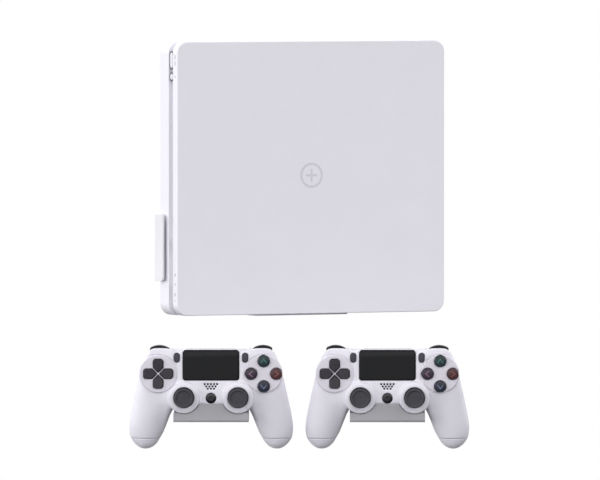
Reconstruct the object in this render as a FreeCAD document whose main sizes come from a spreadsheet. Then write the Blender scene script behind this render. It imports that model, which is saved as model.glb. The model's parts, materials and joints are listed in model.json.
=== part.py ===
"""A wall-hung set: a slim game console in its bracket, and two hand controllers, each on its own bracket.

Every piece is modelled as the thing lies flat on a bench, face up: X to the right, Y up the face, Z out of
the face, with Z = 0 at the wall. A Placement then stands it up. The row frame has +Z up, the console's
face towards -Y, and its origin on the wall side of the console's bracket, behind the console's centre.
"""
import FreeCAD, Part

import os
import re

import Sketcher
from FreeCAD import Placement, Rotation, Vector

SIZES = {
    # console, standing with its disc side (front) at -X
    "depth": 288.0, "width": 265.0, "corner": 11.0, "sheet_wall": 2.5, "floor_wall": 2.0,
    "case_low": 3.0, "case_high": 22.5, "band_high": 31.5, "cover_high": 42.0, "rim": 8.0,
    "band_inset": 4.0, "band_wall": 2.0, "port_mid": 27.0,
    "power_mid": 114.5, "power_long": 15.0, "eject_mid": 98.5, "button_wide": 6.0, "button_gap": 0.25,
    "fan_x": 70.0, "fan_y": -70.0, "fan_radius": 42.0, "fan_hub": 16.0, "fan_low": 8.6, "fan_high": 19.5,
    "foot_radius": 7.0, "foot_x": 112.0, "foot_y": 104.0, "screw_x": 131.0, "screw_y": 120.0,
    "screw_radius": 1.5, "screw_head": 2.8, "screw_boss": 4.0, "inner_plate": 1.3,
    # console bracket
    "plate": 2.0, "lip_gap": 2.5, "lip_low": -99.6, "lip_high": -35.0, "lip_deep": 18.0,
    "column_half": 50.0, "column_high": 60.0, "shelf_drop": 0.05, "shelf_deep": 20.0,
    "bolt_x": 38.0, "bolt_y": 45.0, "bolt_radius": 2.6,
    # where the controllers hang: along the face and up, and how far they turn from the console's wall
    "turn": -26.0, "one_x": -104.6, "one_y": -35.8, "two_x": 48.4, "two_y": -110.4, "hang": -210.5,
    # controller shell
    "shell_wall": 2.2, "back_z": 15.0, "split_z": 28.0, "face_z": 42.0, "edge_round": 3.0,
    "cluster_x": 50.9, "cluster_y": 23.1, "cluster_radius": 18.8, "cluster_rise": 0.6,
    "stick_x": 26.1, "stick_z": 33.0, "collar_radius": 15.5, "collar_low": 20.8, "collar_high": 45.5,
    "collar_hole": 10.6,
    "well_radius": 13.9, "well_high": 42.5,
    # controller buttons
    "key_radius": 5.6, "key_reach": 12.2, "key_high": 45.0, "key_low": 36.0, "key_flange": 6.9,
    "fit_gap": 0.3, "home_y": -0.6, "home_radius": 4.8, "home_high": 42.2,
    "slim_x": 33.0, "slim_y": 39.0, "slim_half": 2.9, "slim_reach": 2.0, "slim_high": 43.2,
    "pad_half": 27.2, "pad_low": 17.4, "pad_high": 46.2, "pad_back": 39.0, "pad_front": 43.0,
    "arm_half": 5.3, "arm_reach": 14.5, "arm_web": 1.34, "arm_hole_web": 0.56, "arm_gap": 0.55,
    "disc_radius": 14.6, "disc_low": 36.6, "disc_high": 38.2, "arm_high": 45.2, "spider_z": 33.5,
    # stick
    "dome_out": 13.3, "dome_in": 12.1, "neck": 3.8, "cap_radius": 9.8, "cap_low": 51.5, "cap_high": 57.5,
    "rocker_radius": 2.9, "journal": 1.5, "tongue": 1.8, "running": 0.05, "box_half": 7.5, "box_hole": 6.3,
    # shoulder buttons
    "bump_in": 40.0, "bump_out": 60.0, "bump_low": 46.2, "bump_high": 50.4, "bump_back": 22.3,
    "bump_front": 39.5, "bump_arc": 17.0, "pin_y": 39.0, "pin_z": 22.0, "pin_radius": 1.2, "boss": 2.6,
    # inside the controller
    "board_low": 27.3, "board_high": 28.8,
    # controller bracket
    "hook_half": 36.3, "hook_low": -23.6, "hook_sheet": 1.6, "hook_back": 30.0, "hook_front": 44.0,
    "hook_lip": -5.8, "scallop": 15.9, "hook_bolt_x": 24.0, "hook_bolt_y": 8.0,
}
GRIP_STATIONS = [  # up the face, across, out of the wall, half width, half thickness
    (6.6, 59.5, 26.0, 15.5, 13.5),
    (-7.0, 60.2, 22.8, 18.6, 16.0),
    (-18.0, 60.2, 20.3, 19.4, 16.6),
    (-30.0, 61.9, 18.6, 17.5, 15.4),
    (-41.0, 63.3, 17.6, 13.5, 12.2),
    (-47.5, 63.3, 17.2, 8.8, 8.0),
    (-50.3, 63.1, 17.0, 3.5, 3.2),
]
BODY_SIDE = [(36.0, 46.5), (42.0, 47.8), (58.0, 47.8), (66.0, 37.0), (71.5, 21.0), (73.5, 6.0),
             (66.0, -9.0), (40.0, -12.0), (34.0, -10.0)]

doc = FreeCAD.newDocument("game_console_set")
cells = doc.addObject("Spreadsheet::Sheet", "Sizes")
for line, (alias, number) in enumerate(SIZES.items(), start=1):
    cells.set("A%d" % line, str(number))
    cells.setAlias("A%d" % line, alias)
doc.recompute()
pieces = []


# ---------------------------------------------------------------- formulas and simple solids
def formula(text):
    """A formula written with bare aliases, as an expression on the sheet."""
    return re.sub(r"[a-z_]+", lambda word: "Sizes." + word[0] if word[0] in SIZES else word[0], str(text))


def number(text):
    return float(cells.evalExpression(formula(text)))


def bind(thing, prop, text):
    thing.setExpression(prop, formula(text))


def place(thing, at):
    for axis, text in zip("xyz", at):
        bind(thing, "Placement.Base." + axis, text)


def box(low, high):
    thing = doc.addObject("Part::Box", "Block")
    for prop, start, end in zip(("Length", "Width", "Height"), low, high):
        bind(thing, prop, "(%s) - (%s)" % (end, start))
    place(thing, low)
    return thing


TURNS = {
    "z": Rotation(),
    "x": Rotation(Vector(0, 1, 0), 90),
    "y": Rotation(Vector(1, 0, 0), -90),
}


def cylinder(radius, at, length, axis="z"):
    """A cylinder from the point at, running along +axis."""
    thing = doc.addObject("Part::Cylinder", "Round")
    thing.Placement = Placement(Vector(), TURNS[axis])
    bind(thing, "Radius", radius)
    bind(thing, "Height", length)
    place(thing, at)
    return thing


def sphere(radius, at, above=-90):
    """A ball, or the part of one above a latitude in degrees."""
    thing = doc.addObject("Part::Sphere", "Ball")
    bind(thing, "Radius", radius)
    thing.Angle1 = above
    place(thing, at)
    return thing


def joined(kind, things):
    result = doc.addObject(kind, kind[6:])
    result.Shapes = things
    return result


def fuse(*things):
    return things[0] if len(things) == 1 else joined("Part::MultiFuse", list(things))


def common(*things):
    return joined("Part::MultiCommon", list(things))


def group(*things):
    """Separate solids kept side by side in one node."""
    result = doc.addObject("Part::Compound", "Group")
    result.Links = list(things)
    return result


def cut(base, *tools):
    result = doc.addObject("Part::Cut", "Cut")
    result.Base = base
    result.Tool = fuse(*tools)
    return result


def rounded(base, radius, wanted):
    """Fillets the edges of base that wanted(edge) picks."""
    doc.recompute()
    result = doc.addObject("Part::Fillet", "Rounded")
    result.Base = base
    size = number(radius)
    result.Edges = [(i, size, size) for i, edge in enumerate(base.Shape.Edges, start=1) if wanted(edge)]
    return result


def along(axis):
    """Picks straight edges along an axis."""
    def wanted(edge):
        if edge.Curve.TypeId != "Part::GeomLine":
            return False
        return abs(abs(edge.Curve.Direction.dot(axis)) - 1) < 1e-6
    return wanted


UP = Vector(0, 0, 1)


def rounded_box(low, high, radius, axis=UP):
    return rounded(box(low, high), radius, along(axis))


# ---------------------------------------------------------------- sketches
def tie(sketch, kind, geometry, vertex, text):
    """Fixes one coordinate of a sketch point from the origin by a formula."""
    index = sketch.addConstraint(Sketcher.Constraint(kind, -1, 1, geometry, vertex, number(text)))
    bind(sketch, "Constraints[%d]" % index, text)


def closed_line(sketch, corners):
    """Adds a closed polygon whose corners are pairs of formulas."""
    start = sketch.GeometryCount
    points = [Vector(number(x), number(y), 0) for x, y in corners]
    count = len(points)
    for i in range(count):
        sketch.addGeometry(Part.LineSegment(points[i], points[(i + 1) % count]))
    for i in range(count):
        sketch.addConstraint(Sketcher.Constraint("Coincident", start + i, 2, start + (i + 1) % count, 1))
    for i, (x, y) in enumerate(corners):
        tie(sketch, "DistanceX", start + i, 1, x)
        tie(sketch, "DistanceY", start + i, 1, y)


def circle(sketch, x, y, radius):
    index = sketch.addGeometry(Part.Circle(Vector(number(x), number(y), 0), UP, number(radius)))
    tie(sketch, "DistanceX", index, 3, x)
    tie(sketch, "DistanceY", index, 3, y)
    limit = sketch.addConstraint(Sketcher.Constraint("Radius", index, number(radius)))
    bind(sketch, "Constraints[%d]" % limit, radius)


def slab_outline(sketch, inset, radius):
    """Adds the console's rounded rectangle, drawn in by inset: four lines and four arcs."""
    x, y, r = number("depth/2 - (%s)" % inset), number("width/2 - (%s)" % inset), number(radius)
    start = sketch.GeometryCount
    centres = [(x - r, -y + r), (x - r, y - r), (-x + r, y - r), (-x + r, -y + r)]
    for i, (cx, cy) in enumerate(centres):
        angle = -1.5707963267948966 * (1 - i)
        ring = Part.Circle(Vector(cx, cy, 0), UP, r)
        sketch.addGeometry(Part.ArcOfCircle(ring, angle, angle + 1.5707963267948966))
    ends = [sketch.Geometry[start + i] for i in range(4)]
    for i in range(4):
        sketch.addGeometry(Part.LineSegment(ends[i].EndPoint, ends[(i + 1) % 4].StartPoint))
    for i in range(4):
        line = start + 4 + i
        sketch.addConstraint(Sketcher.Constraint("Tangent", start + i, 2, line, 1))
        sketch.addConstraint(Sketcher.Constraint("Tangent", line, 2, start + (i + 1) % 4, 1))
        sketch.addConstraint(Sketcher.Constraint("Vertical" if i % 2 == 0 else "Horizontal", line))
        if i:
            sketch.addConstraint(Sketcher.Constraint("Equal", start, start + i))
    limit = sketch.addConstraint(Sketcher.Constraint("Radius", start, r))
    bind(sketch, "Constraints[%d]" % limit, radius)
    tie(sketch, "DistanceX", start + 4, 1, "depth/2 - (%s)" % inset)
    tie(sketch, "DistanceX", start + 6, 1, "-(depth/2 - (%s))" % inset)
    tie(sketch, "DistanceY", start + 5, 1, "width/2 - (%s)" % inset)
    tie(sketch, "DistanceY", start + 7, 1, "-(width/2 - (%s))" % inset)


def body_sketch(body, plane="XY_Plane", offset="0"):
    sketch = body.newObject("Sketcher::SketchObject", "Outline")
    sketch.AttachmentSupport = ([f for f in body.Origin.OriginFeatures if f.Role == plane][0], [""])
    sketch.MapMode = "FlatFace"
    bind(sketch, "AttachmentOffset.Base.z", offset)
    return sketch


def pad(body, sketch, length):
    feature = body.newObject("PartDesign::Pad", "Pad")
    feature.Profile = sketch
    bind(feature, "Length", length)
    doc.recompute()
    return feature


def pocket(body, sketch, length):
    """Cuts upwards from the sketch, and makes sure that it cut something."""
    before = body.Shape.Volume
    feature = body.newObject("PartDesign::Pocket", "Pocket")
    feature.Profile = sketch
    feature.Reversed = True
    bind(feature, "Length", length)
    doc.recompute()
    if body.Shape.Volume > before - 1:
        raise RuntimeError("a pocket cut nothing in " + body.Name)
    return feature


def slab_layer(body, low, high, outer, inner=None):
    """Pads the console's outline, or the ring between two insets of it, from low to high."""
    sketch = body_sketch(body, offset=low)
    slab_outline(sketch, outer, "corner - (%s)/2" % outer)
    if inner is not None:
        slab_outline(sketch, inner, "corner - (%s)/2" % inner)
    return pad(body, sketch, "(%s) - (%s)" % (high, low))


def extruded(corners, low, high, plane="XY"):
    """A prism on a free sketch: its corners are (x, y) from z = low, or (y, z) from x = low."""
    sketch = doc.addObject("Sketcher::SketchObject", "Profile")
    closed_line(sketch, corners)
    if plane == "YZ":
        sketch.Placement = Placement(Vector(), Rotation(Vector(1, 1, 1), 120))
        bind(sketch, "Placement.Base.x", low)
    else:
        bind(sketch, "Placement.Base.z", low)
    result = doc.addObject("Part::Extrusion", "Prism")
    result.Base = sketch
    result.Dir = Vector(1, 0, 0) if plane == "YZ" else UP
    result.DirMode = "Custom"
    bind(result, "LengthFwd", "(%s) - (%s)" % (high, low))
    result.Solid = True
    return result


def keep(name, thing, pose, bodies_own=None):
    """Names a finished piece, stands it up by its pose, and puts it on the list to be written."""
    thing.Label = name
    thing.Placement = pose.multiply(bodies_own) if bodies_own else pose
    pieces.append(thing)


# ---------------------------------------------------------------- console
STAND_UP = Rotation(Vector(1, 0, 0), 90)
CONSOLE = Placement(Vector(), STAND_UP)
BAND_FACE = "-(depth/2 - band_inset)"
ALONG_X = Vector(1, 0, 0)
FRONT_PORTS = ("-66", "-110")


def bottom_case():
    body = doc.addObject("PartDesign::Body", "BottomCase")
    slab_layer(body, "case_low", "case_low + floor_wall", "0")
    slab_layer(body, "case_low + floor_wall", "case_high - floor_wall", "0", "sheet_wall")
    slab_layer(body, "case_high - floor_wall", "case_high", "0", "rim")
    bosses = body_sketch(body, offset="case_low + floor_wall")
    screw_circles(bosses, "screw_boss")
    pad(body, bosses, "case_high - case_low - floor_wall")
    heads = body_sketch(body, offset="case_low")
    screw_circles(heads, "screw_head + fit_gap")
    pocket(body, heads, "1.3")
    bores = body_sketch(body, offset="case_low")
    screw_circles(bores, "screw_radius + running")
    pocket(body, bores, "case_high - case_low")
    rear = "depth/2"
    openings = [box((rear + " - sheet_wall - 1", y0, z0), (rear + " + 1", y1, z1))
                for y0, y1, z0, z1 in REAR_HOLES]
    vents = [box((rear + " - sheet_wall - 1", "%g" % (-118 + 6 * i), "8"),
                 (rear + " + 1", "%g" % (-115 + 6 * i), "19")) for i in range(11)]
    keep("console_bottom_case", cut(body, *(openings + vents)), CONSOLE)


def screw_circles(sketch, radius):
    for x in ("-screw_x", "screw_x"):
        for y in ("-screw_y", "screw_y"):
            circle(sketch, x, y, radius)


REAR_HOLES = [  # low and high along the width, low and high out of the wall
    ("-48", "-32", "7", "15"),       # mains inlet
    ("-26", "-10", "7", "13.5"),     # display socket
    ("-5", "8", "7", "14.5"),        # camera socket
    ("12", "26", "6.6", "16"),       # network socket
    ("40", "120", "6.4", "19.2"),    # drive bay
]


def center_frame():
    body = doc.addObject("PartDesign::Body", "CenterFrame")
    slab_layer(body, "case_high", "case_high + inner_plate", "band_inset")
    slab_layer(body, "case_high + inner_plate", "band_high", "band_inset", "band_inset + band_wall")
    out, back = "-(depth/2)", BAND_FACE + " + band_wall + 1"
    side = "button_wide/2 + button_gap"
    tall = "power_long/2 + button_gap"
    holes = [
        rounded_box((out, "power_mid - (%s)" % tall, "port_mid - (%s)" % side),
                    (back, "power_mid + %s" % tall, "port_mid + %s" % side), "button_wide/2", ALONG_X),
        cylinder(side, (out, "eject_mid", "port_mid"), "band_inset + band_wall + 1", "x"),
        box((out, "-42", "25.6"), (back, "82", "28.4")),
        cylinder("34", ("fan_x", "fan_y", "case_high - 1"), "4"),
    ]
    holes += [box((out, y + " - 6.7", "port_mid - 2.9"), (back, y + " + 6.7", "port_mid + 2.9"))
              for y in FRONT_PORTS]
    keep("console_center_frame", cut(body, *holes), CONSOLE)


def top_cover():
    body = doc.addObject("PartDesign::Body", "TopCover")
    slab_layer(body, "band_high", "band_high + floor_wall", "0", "rim")
    slab_layer(body, "band_high + floor_wall", "cover_high - floor_wall", "0", "sheet_wall")
    slab_layer(body, "cover_high - floor_wall", "cover_high", "0")
    keep("console_top_cover", body, CONSOLE)


def front_buttons():
    out, back = BAND_FACE + " - 3.4", BAND_FACE + " + 4"
    power = rounded_box((out, "power_mid - power_long/2", "port_mid - button_wide/2"),
                        (back, "power_mid + power_long/2", "port_mid + button_wide/2"),
                        "button_wide/2 - 0.05", ALONG_X)
    keep("power_button", power, CONSOLE)
    eject = rounded(cylinder("button_wide/2", (out, "eject_mid", "port_mid"), "7.4", "x"), "0.4",
                    lambda edge: edge.BoundBox.XMax < number(out) + 0.01)
    keep("eject_button", eject, CONSOLE)


def fan():
    blades = []
    for i in range(11):
        blade = box(("0", "-0.7", "0"), ("fan_radius - 17", "0.7", "fan_high - fan_low"))
        blade.Placement = Placement(Vector(), Rotation(UP, i * 360.0 / 11))
        start = blade.Placement.Rotation.multVec(Vector(15, 0, 0))
        place(blade, ("fan_x + %.6f" % start.x, "fan_y + %.6f" % start.y, "fan_low"))
        blades.append(blade)
    hub = cylinder("fan_hub", ("fan_x", "fan_y", "fan_low"), "fan_high - fan_low")
    ring = cut(cylinder("fan_radius - 2", ("fan_x", "fan_y", "fan_low"), "1"),
               cylinder("fan_hub - 1", ("fan_x", "fan_y", "fan_low - 1"), "3"))
    bore = cylinder("2 + running", ("fan_x", "fan_y", "fan_low - 1"), "8")
    keep("cooling_fan", cut(fuse(hub, ring, *blades), bore), CONSOLE)


def heat_sink():
    """The fan's scroll with the fan's spindle, and the finned block that it blows through."""
    floor = "case_low + floor_wall"
    scroll = cut(box(("22", "-115", floor), ("118", "-25", "fan_high + 1.4")),
                 cylinder("fan_radius", ("fan_x", "fan_y", "fan_low - 1"), "30"),
                 box(("fan_x", "-111", "fan_low - 1"), ("119", "fan_y", "fan_high + 0.6")))
    spindle = cylinder("2", ("fan_x", "fan_y", "fan_low - 1.1"), "7")
    fins = [box(("120", "%g" % (-113 + 4 * i), "7.6"), ("139", "%g" % (-112 + 4 * i), "20.4"))
            for i in range(16)]
    base = box(("120", "-114", floor), ("139", "-51", "7.6"))
    keep("heat_sink", group(fuse(scroll, spindle), fuse(base, *fins)), CONSOLE)


def main_board():
    chips = [((-92, -60), (-54, -22), 11.8), ((-40, -50), (-26, -36), 10.6),
             ((-40, -30), (-26, -16), 10.6), ((-118, -20), (-106, 4), 10.4)]
    solids = [box(("%g" % x0, "%g" % y0, "9.2"), ("%g" % x1, "%g" % y1, "%g" % top))
              for (x0, y0), (x1, y1), top in chips]
    solids += [cylinder("2.5", (x, y, "case_low + floor_wall"), "3") for x, y in
               (("-118", "-108"), ("-118", "16"), ("8", "-108"), ("8", "16"), ("122", "-16"),
                ("122", "18"))]
    board = fuse(box(("-126", "-115", "7.6"), ("16", "24", "9.2")),
                 box(("15", "-23", "7.6"), ("130.4", "26", "9.2")))
    keep("main_board", fuse(board, *solids), CONSOLE)


def drives_and_supply():
    loader = cut(box(("-135.6", "-50", "case_high + inner_plate"), ("8", "92", "38.6")),
                 box(("-138", "-42", "25.6"), ("-100", "82", "28.4")))
    keep("disc_drive", loader, CONSOLE)
    floor = "case_low + floor_wall"
    keep("power_supply", rounded_box(("-124", "34", floor), ("22", "116", "21.6"), "3"), CONSOLE)
    drive = rounded_box(("34", "44.5", "8.2"), ("134", "114.5", "17.7"), "2")
    rails = [box(("36", y0, floor), ("132", y1, "8.2")) for y0, y1 in (("48", "54"), ("105", "111"))]
    keep("hard_drive", fuse(drive, *rails), CONSOLE)
    inside, outside = "depth/2 - sheet_wall + 0.1", "depth/2"
    cover = fuse(box((inside, "40.3", "6.7"), (outside, "119.7", "18.9")),
                 box(("depth/2 - 7", "50", "6.7"), (inside, "56", "7.2")),
                 box(("depth/2 - 7", "104", "6.7"), (inside, "110", "7.2")))
    keep("hard_drive_cover", cover, CONSOLE)


def socket(y0, y1, z0, z1, deep):
    """A rear socket: a shell open to the back, as a block with its mouth cut out."""
    rear = "depth/2"
    shell = box((rear + " - sheet_wall - %g" % deep, y0, z0), (rear + " - 0.3", y1, z1))
    mouth = box((rear + " - sheet_wall - %g" % (deep - 1), "%s + 1" % y0, "%s + 1" % z0),
                (rear + " + 1", "%s - 1" % y1, "%s - 1" % z1))
    return cut(shell, mouth)


def connectors():
    rear = "depth/2"
    parts = [socket(y0, y1, z0, z1, 11) for y0, y1, z0, z1 in REAR_HOLES[:4]]
    pins = [cylinder("1.2", (rear + " - sheet_wall - 10.5", y, "11"), "9", "x")
            for y in ("-43.6", "-36.4")]
    parts[0] = fuse(parts[0], *pins)
    parts[1] = fuse(parts[1], box((rear + " - 13", "-23.5", "9.6"), (rear + " - 3", "-12.5", "10.9")))
    parts[2] = fuse(parts[2], box((rear + " - 13", "-3", "9.8"), (rear + " - 3", "6", "11.6")))
    for y in FRONT_PORTS:
        shell = box((BAND_FACE + " + 0.2", y + " - 6.6", "port_mid - 2.8"),
                    (BAND_FACE + " + 14", y + " + 6.6", "port_mid + 2.8"))
        mouth = box((BAND_FACE + " - 1", y + " - 6.2", "port_mid - 2.4"),
                    (BAND_FACE + " + 13", y + " + 6.2", "port_mid + 2.4"))
        tongue = box((BAND_FACE + " + 1.5", y + " - 5.5", "port_mid - 0.2"),
                     (BAND_FACE + " + 13.5", y + " + 5.5", "port_mid + 1.7"))
        parts.append(fuse(cut(shell, mouth), tongue))
    keep("console_connectors", group(*parts), CONSOLE)


def fasteners_and_feet():
    screws, feet = [], []
    for side_x in ("-", ""):
        for side_y in ("-", ""):
            x, y = side_x + "screw_x", side_y + "screw_y"
            shank = cylinder("screw_radius", (x, y, "case_low + 0.2"), "case_high - case_low - 0.2")
            head = cylinder("screw_head", (x, y, "case_low + 0.2"), "1.1")
            drive = box((x + " - 0.4", y + " - 1.8", "case_low"),
                        (x + " + 0.4", y + " + 1.8", "case_low + 0.8"))
            screws.append(cut(fuse(shank, head), drive))
            feet.append(cylinder("foot_radius", (side_x + "foot_x", side_y + "foot_y", "plate + 0.05"),
                                 "case_low - plate - 0.05"))
    keep("case_screws", group(*screws), CONSOLE)
    keep("console_feet", group(*feet), CONSOLE)


def console_bracket():
    body = doc.addObject("PartDesign::Body", "ConsoleBracket")
    side = "depth/2 + lip_gap + plate"
    floor = "width/2 + shelf_drop + plate"
    sketch = body_sketch(body)
    closed_line(sketch, [("-(%s)" % side, "lip_low"), ("-column_half", "lip_low"),
                         ("-column_half", "-(%s)" % floor), ("column_half", "-(%s)" % floor),
                         ("column_half", "lip_low"), (side, "lip_low"),
                         (side, "lip_high"), ("column_half", "lip_high"), ("column_half", "column_high"),
                         ("-column_half", "column_high"), ("-column_half", "lip_high"),
                         ("-(%s)" % side, "lip_high")])
    pad(body, sketch, "plate")
    for sign in ("-", ""):
        lip = body_sketch(body, offset="plate")
        near, far = "%s(depth/2 + lip_gap)" % sign, "%s(%s)" % (sign, side)
        closed_line(lip, [(near, "lip_low"), (far, "lip_low"), (far, "lip_high"), (near, "lip_high")])
        pad(body, lip, "lip_deep - plate")
    shelf = body_sketch(body, offset="plate")
    top = "-(width/2 + shelf_drop)"
    closed_line(shelf, [("-column_half", "-(%s)" % floor), ("column_half", "-(%s)" % floor),
                        ("column_half", top), ("-column_half", top)])
    pad(body, shelf, "shelf_deep - plate")
    bolts = body_sketch(body)
    for x in ("-bolt_x", "bolt_x"):
        for y in ("-bolt_y", "bolt_y"):
            circle(bolts, x, y, "bolt_radius")
    pocket(body, bolts, "plate")
    keep("console_bracket", body, CONSOLE)


# ---------------------------------------------------------------- controller shells
def mirrored(corners):
    """The whole outline from its right-hand half, listed from the top down."""
    right = [("%g" % x, "%g" % y) for x, y in corners]
    left = [("%g" % -x, "%g" % y) for x, y in reversed(corners)]
    return right + left


def inset_side(corners, inset):
    """The right-hand half drawn in: each corner moves along the bisector of its two edges."""
    ring = [(-corners[0][0], corners[0][1])] + list(corners) + [(-corners[-1][0], corners[-1][1])]
    moved = []
    for before, here, after in zip(ring, ring[1:], ring[2:]):
        one = Vector(here[0] - before[0], here[1] - before[1], 0).normalize()
        two = Vector(after[0] - here[0], after[1] - here[1], 0).normalize()
        normal = Vector(one.y + two.y, -one.x - two.x, 0).normalize()
        square = Vector(one.y, -one.x, 0).dot(normal)
        moved.append((here[0] + normal.x * inset / square, here[1] + normal.y * inset / square))
    return moved


def grip(sign, wall):
    """One grip as a loft through ellipses, or the hollow inside it."""
    sections = []
    for y, x, z, half_x, half_z in GRIP_STATIONS:
        if wall and half_z < 5:
            continue
        ring = doc.addObject("Part::Ellipse", "Ring")
        ring.MajorRadius = half_x - wall
        ring.MinorRadius = half_z - wall
        ring.Placement = Placement(Vector(sign * x, y, z), Rotation(Vector(1, 0, 0), 90))
        sections.append(ring)
    loft = doc.addObject("Part::Loft", "Grip")
    loft.Sections = sections
    loft.Solid = True
    return loft


def controller_solid(wall):
    """The outside of the controller, or with a wall the hollow inside it."""
    corners = mirrored(inset_side(BODY_SIDE, wall) if wall else BODY_SIDE)
    low, high = ("back_z + %g" % wall, "face_z - %g" % wall) if wall else ("back_z", "face_z")
    block = extruded(corners, low, high)
    if not wall:
        block = rounded(block, "edge_round", lambda edge: edge.BoundBox.ZLength < 0.01)
    parts = [block, grip(1, wall), grip(-1, wall)]
    for sign in ("", "-"):
        x = sign + "stick_x"
        if wall:
            parts.append(cylinder("well_radius", (x, "0", "collar_low + 2.5"),
                                  "well_high - collar_low - 2.5"))
        else:
            parts.append(cylinder("collar_radius", (x, "0", "collar_low"), "collar_high - collar_low"))
            parts.append(cylinder("cluster_radius", (sign + "cluster_x", "cluster_y", "face_z - 3"),
                                  "3 + cluster_rise"))
    return fuse(*parts)


def arm_corners(web, gap):
    """The outline of the pad's upper arm, or of its hole in the shell."""
    half, reach = "(arm_half + (%s))" % gap, "(arm_reach + (%s))" % gap
    side = [(half, "%s + %s" % (half, web)), (half, reach + " - 2.2"), ("%s - 2" % half, reach)]
    return ([("0", web)] + side + [("-(%s)" % x, y) for x, y in reversed(side)])


def arm_holes():
    holes = []
    for i in range(4):
        hole = extruded(arm_corners("arm_hole_web", "arm_gap"), "0", "20")
        hole.Placement = Placement(Vector(number("-cluster_x"), number("cluster_y"), number("key_low")),
                                   Rotation(UP, 90 * i))
        holes.append(hole)
    return holes


KEYS = {
    "top_key": ("cluster_x", "cluster_y + key_reach"),
    "left_key": ("cluster_x - key_reach", "cluster_y"),
    "right_key": ("cluster_x + key_reach", "cluster_y"),
    "bottom_key": ("cluster_x", "cluster_y - key_reach"),
}
SLIM_KEYS = {"share_key": "-slim_x", "options_key": "slim_x"}
SPEAKER_ROWS = [(5, 13.0), (4, 10.8), (3, 8.6)]


def capsule(x, y, gap, low, high):
    """An upright pill: a box with a round end above and below."""
    radius = "(slim_half + %s)" % gap
    ends = [cylinder(radius, (x, "%s %s slim_reach" % (y, s), low), "(%s) - (%s)" % (high, low))
            for s in "+-"]
    middle = box(("%s - %s" % (x, radius), y + " - slim_reach", low),
                 ("%s + %s" % (x, radius), y + " + slim_reach", high))
    return fuse(middle, *ends)


def face_holes():
    holes = [cylinder("collar_hole", (s + "stick_x", "0", "well_high - 1"), "10") for s in ("", "-")]
    holes += [cylinder("key_radius + fit_gap", (x, y, "key_low - 3"), "15") for x, y in KEYS.values()]
    holes += [capsule(x, "slim_y", "fit_gap", "key_low", "50") for x in SLIM_KEYS.values()]
    holes += [cylinder("home_radius + fit_gap", ("0", "home_y", "key_low"), "15")]
    holes += [box(("-pad_half - 0.5", "pad_low - 0.5", "pad_back - 1"), ("pad_half + 0.5", "60", "50"))]
    for count, y in SPEAKER_ROWS:
        for i in range(count):
            x = 3.0 * (i - (count - 1) / 2)
            holes.append(cylinder("0.75", ("%g" % x, "%g" % y, "key_low"), "15"))
    return holes + arm_holes() + shoulder_notches("split_z")


def shoulder_notches(low):
    notches = []
    for sign in (-1, 1):
        x = sorted((sign * 39.4, sign * 60.6))
        notches.append(box(("%g" % x[0], "bump_low - 2.5", "bump_back - 0.5"),
                           ("%g" % x[1], "60", "bump_front + 0.4")))
        if low == "0":
            notches.append(box(("%g" % x[0], "36.1", "0"), ("%g" % x[1], "60", "25.5")))
    return notches


def shells(name, pose):
    wall = number("shell_wall")
    above = box(("-100", "-100", "split_z"), ("100", "100", "70"))
    front = cut(common(controller_solid(0), above), controller_solid(wall), *face_holes())
    keep(name + "front_shell", front, pose)
    below = box(("-100", "-100", "-10"), ("100", "100", "split_z"))
    pins = []
    for sign in (-1, 1):
        x = min(sign * 39.5, sign * 63.6)
        pins.append(cylinder("pin_radius", ("%g" % x, "pin_y", "pin_z"), "24.1", "x"))
    window = box(("-24", "44", "17.2"), ("24", "48", "24.8"))
    rear = cut(common(controller_solid(0), below), controller_solid(wall), window, *shoulder_notches("0"))
    keep(name + "rear_shell", fuse(rear, *pins), pose)


# ---------------------------------------------------------------- controller buttons
def keys(name, pose):
    for key, (x, y) in KEYS.items():
        stem = rounded(cylinder("key_radius", (x, y, "key_low"), "key_high - key_low"), "0.8",
                       lambda edge: edge.BoundBox.ZMin > number("key_high") - 0.01)
        stops = box((x + " - 1.5", y + " - key_flange", "key_low"),
                    (x + " + 1.5", y + " + key_flange", "key_low + 1.5"))
        keep(name + key, fuse(stem, stops), pose)
    for key, x in SLIM_KEYS.items():
        cap = capsule(x, "slim_y", "0", "37", "slim_high")
        foot = box((x + " - 3.9", "slim_y - 5.8", "37"), (x + " + 3.9", "slim_y + 5.0", "38.2"))
        keep(name + key, fuse(cap, foot), pose)
    home = fuse(cylinder("home_radius", ("0", "home_y", "key_low"), "home_high - key_low"),
                cylinder("home_radius + 0.9", ("0", "home_y", "key_low"), "1.5"))
    keep(name + "home_key", home, pose)
    touch = rounded_box(("-pad_half", "pad_low", "pad_back"), ("pad_half", "pad_high", "pad_front"), "2.5")
    keep(name + "touchpad", touch, pose)


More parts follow.
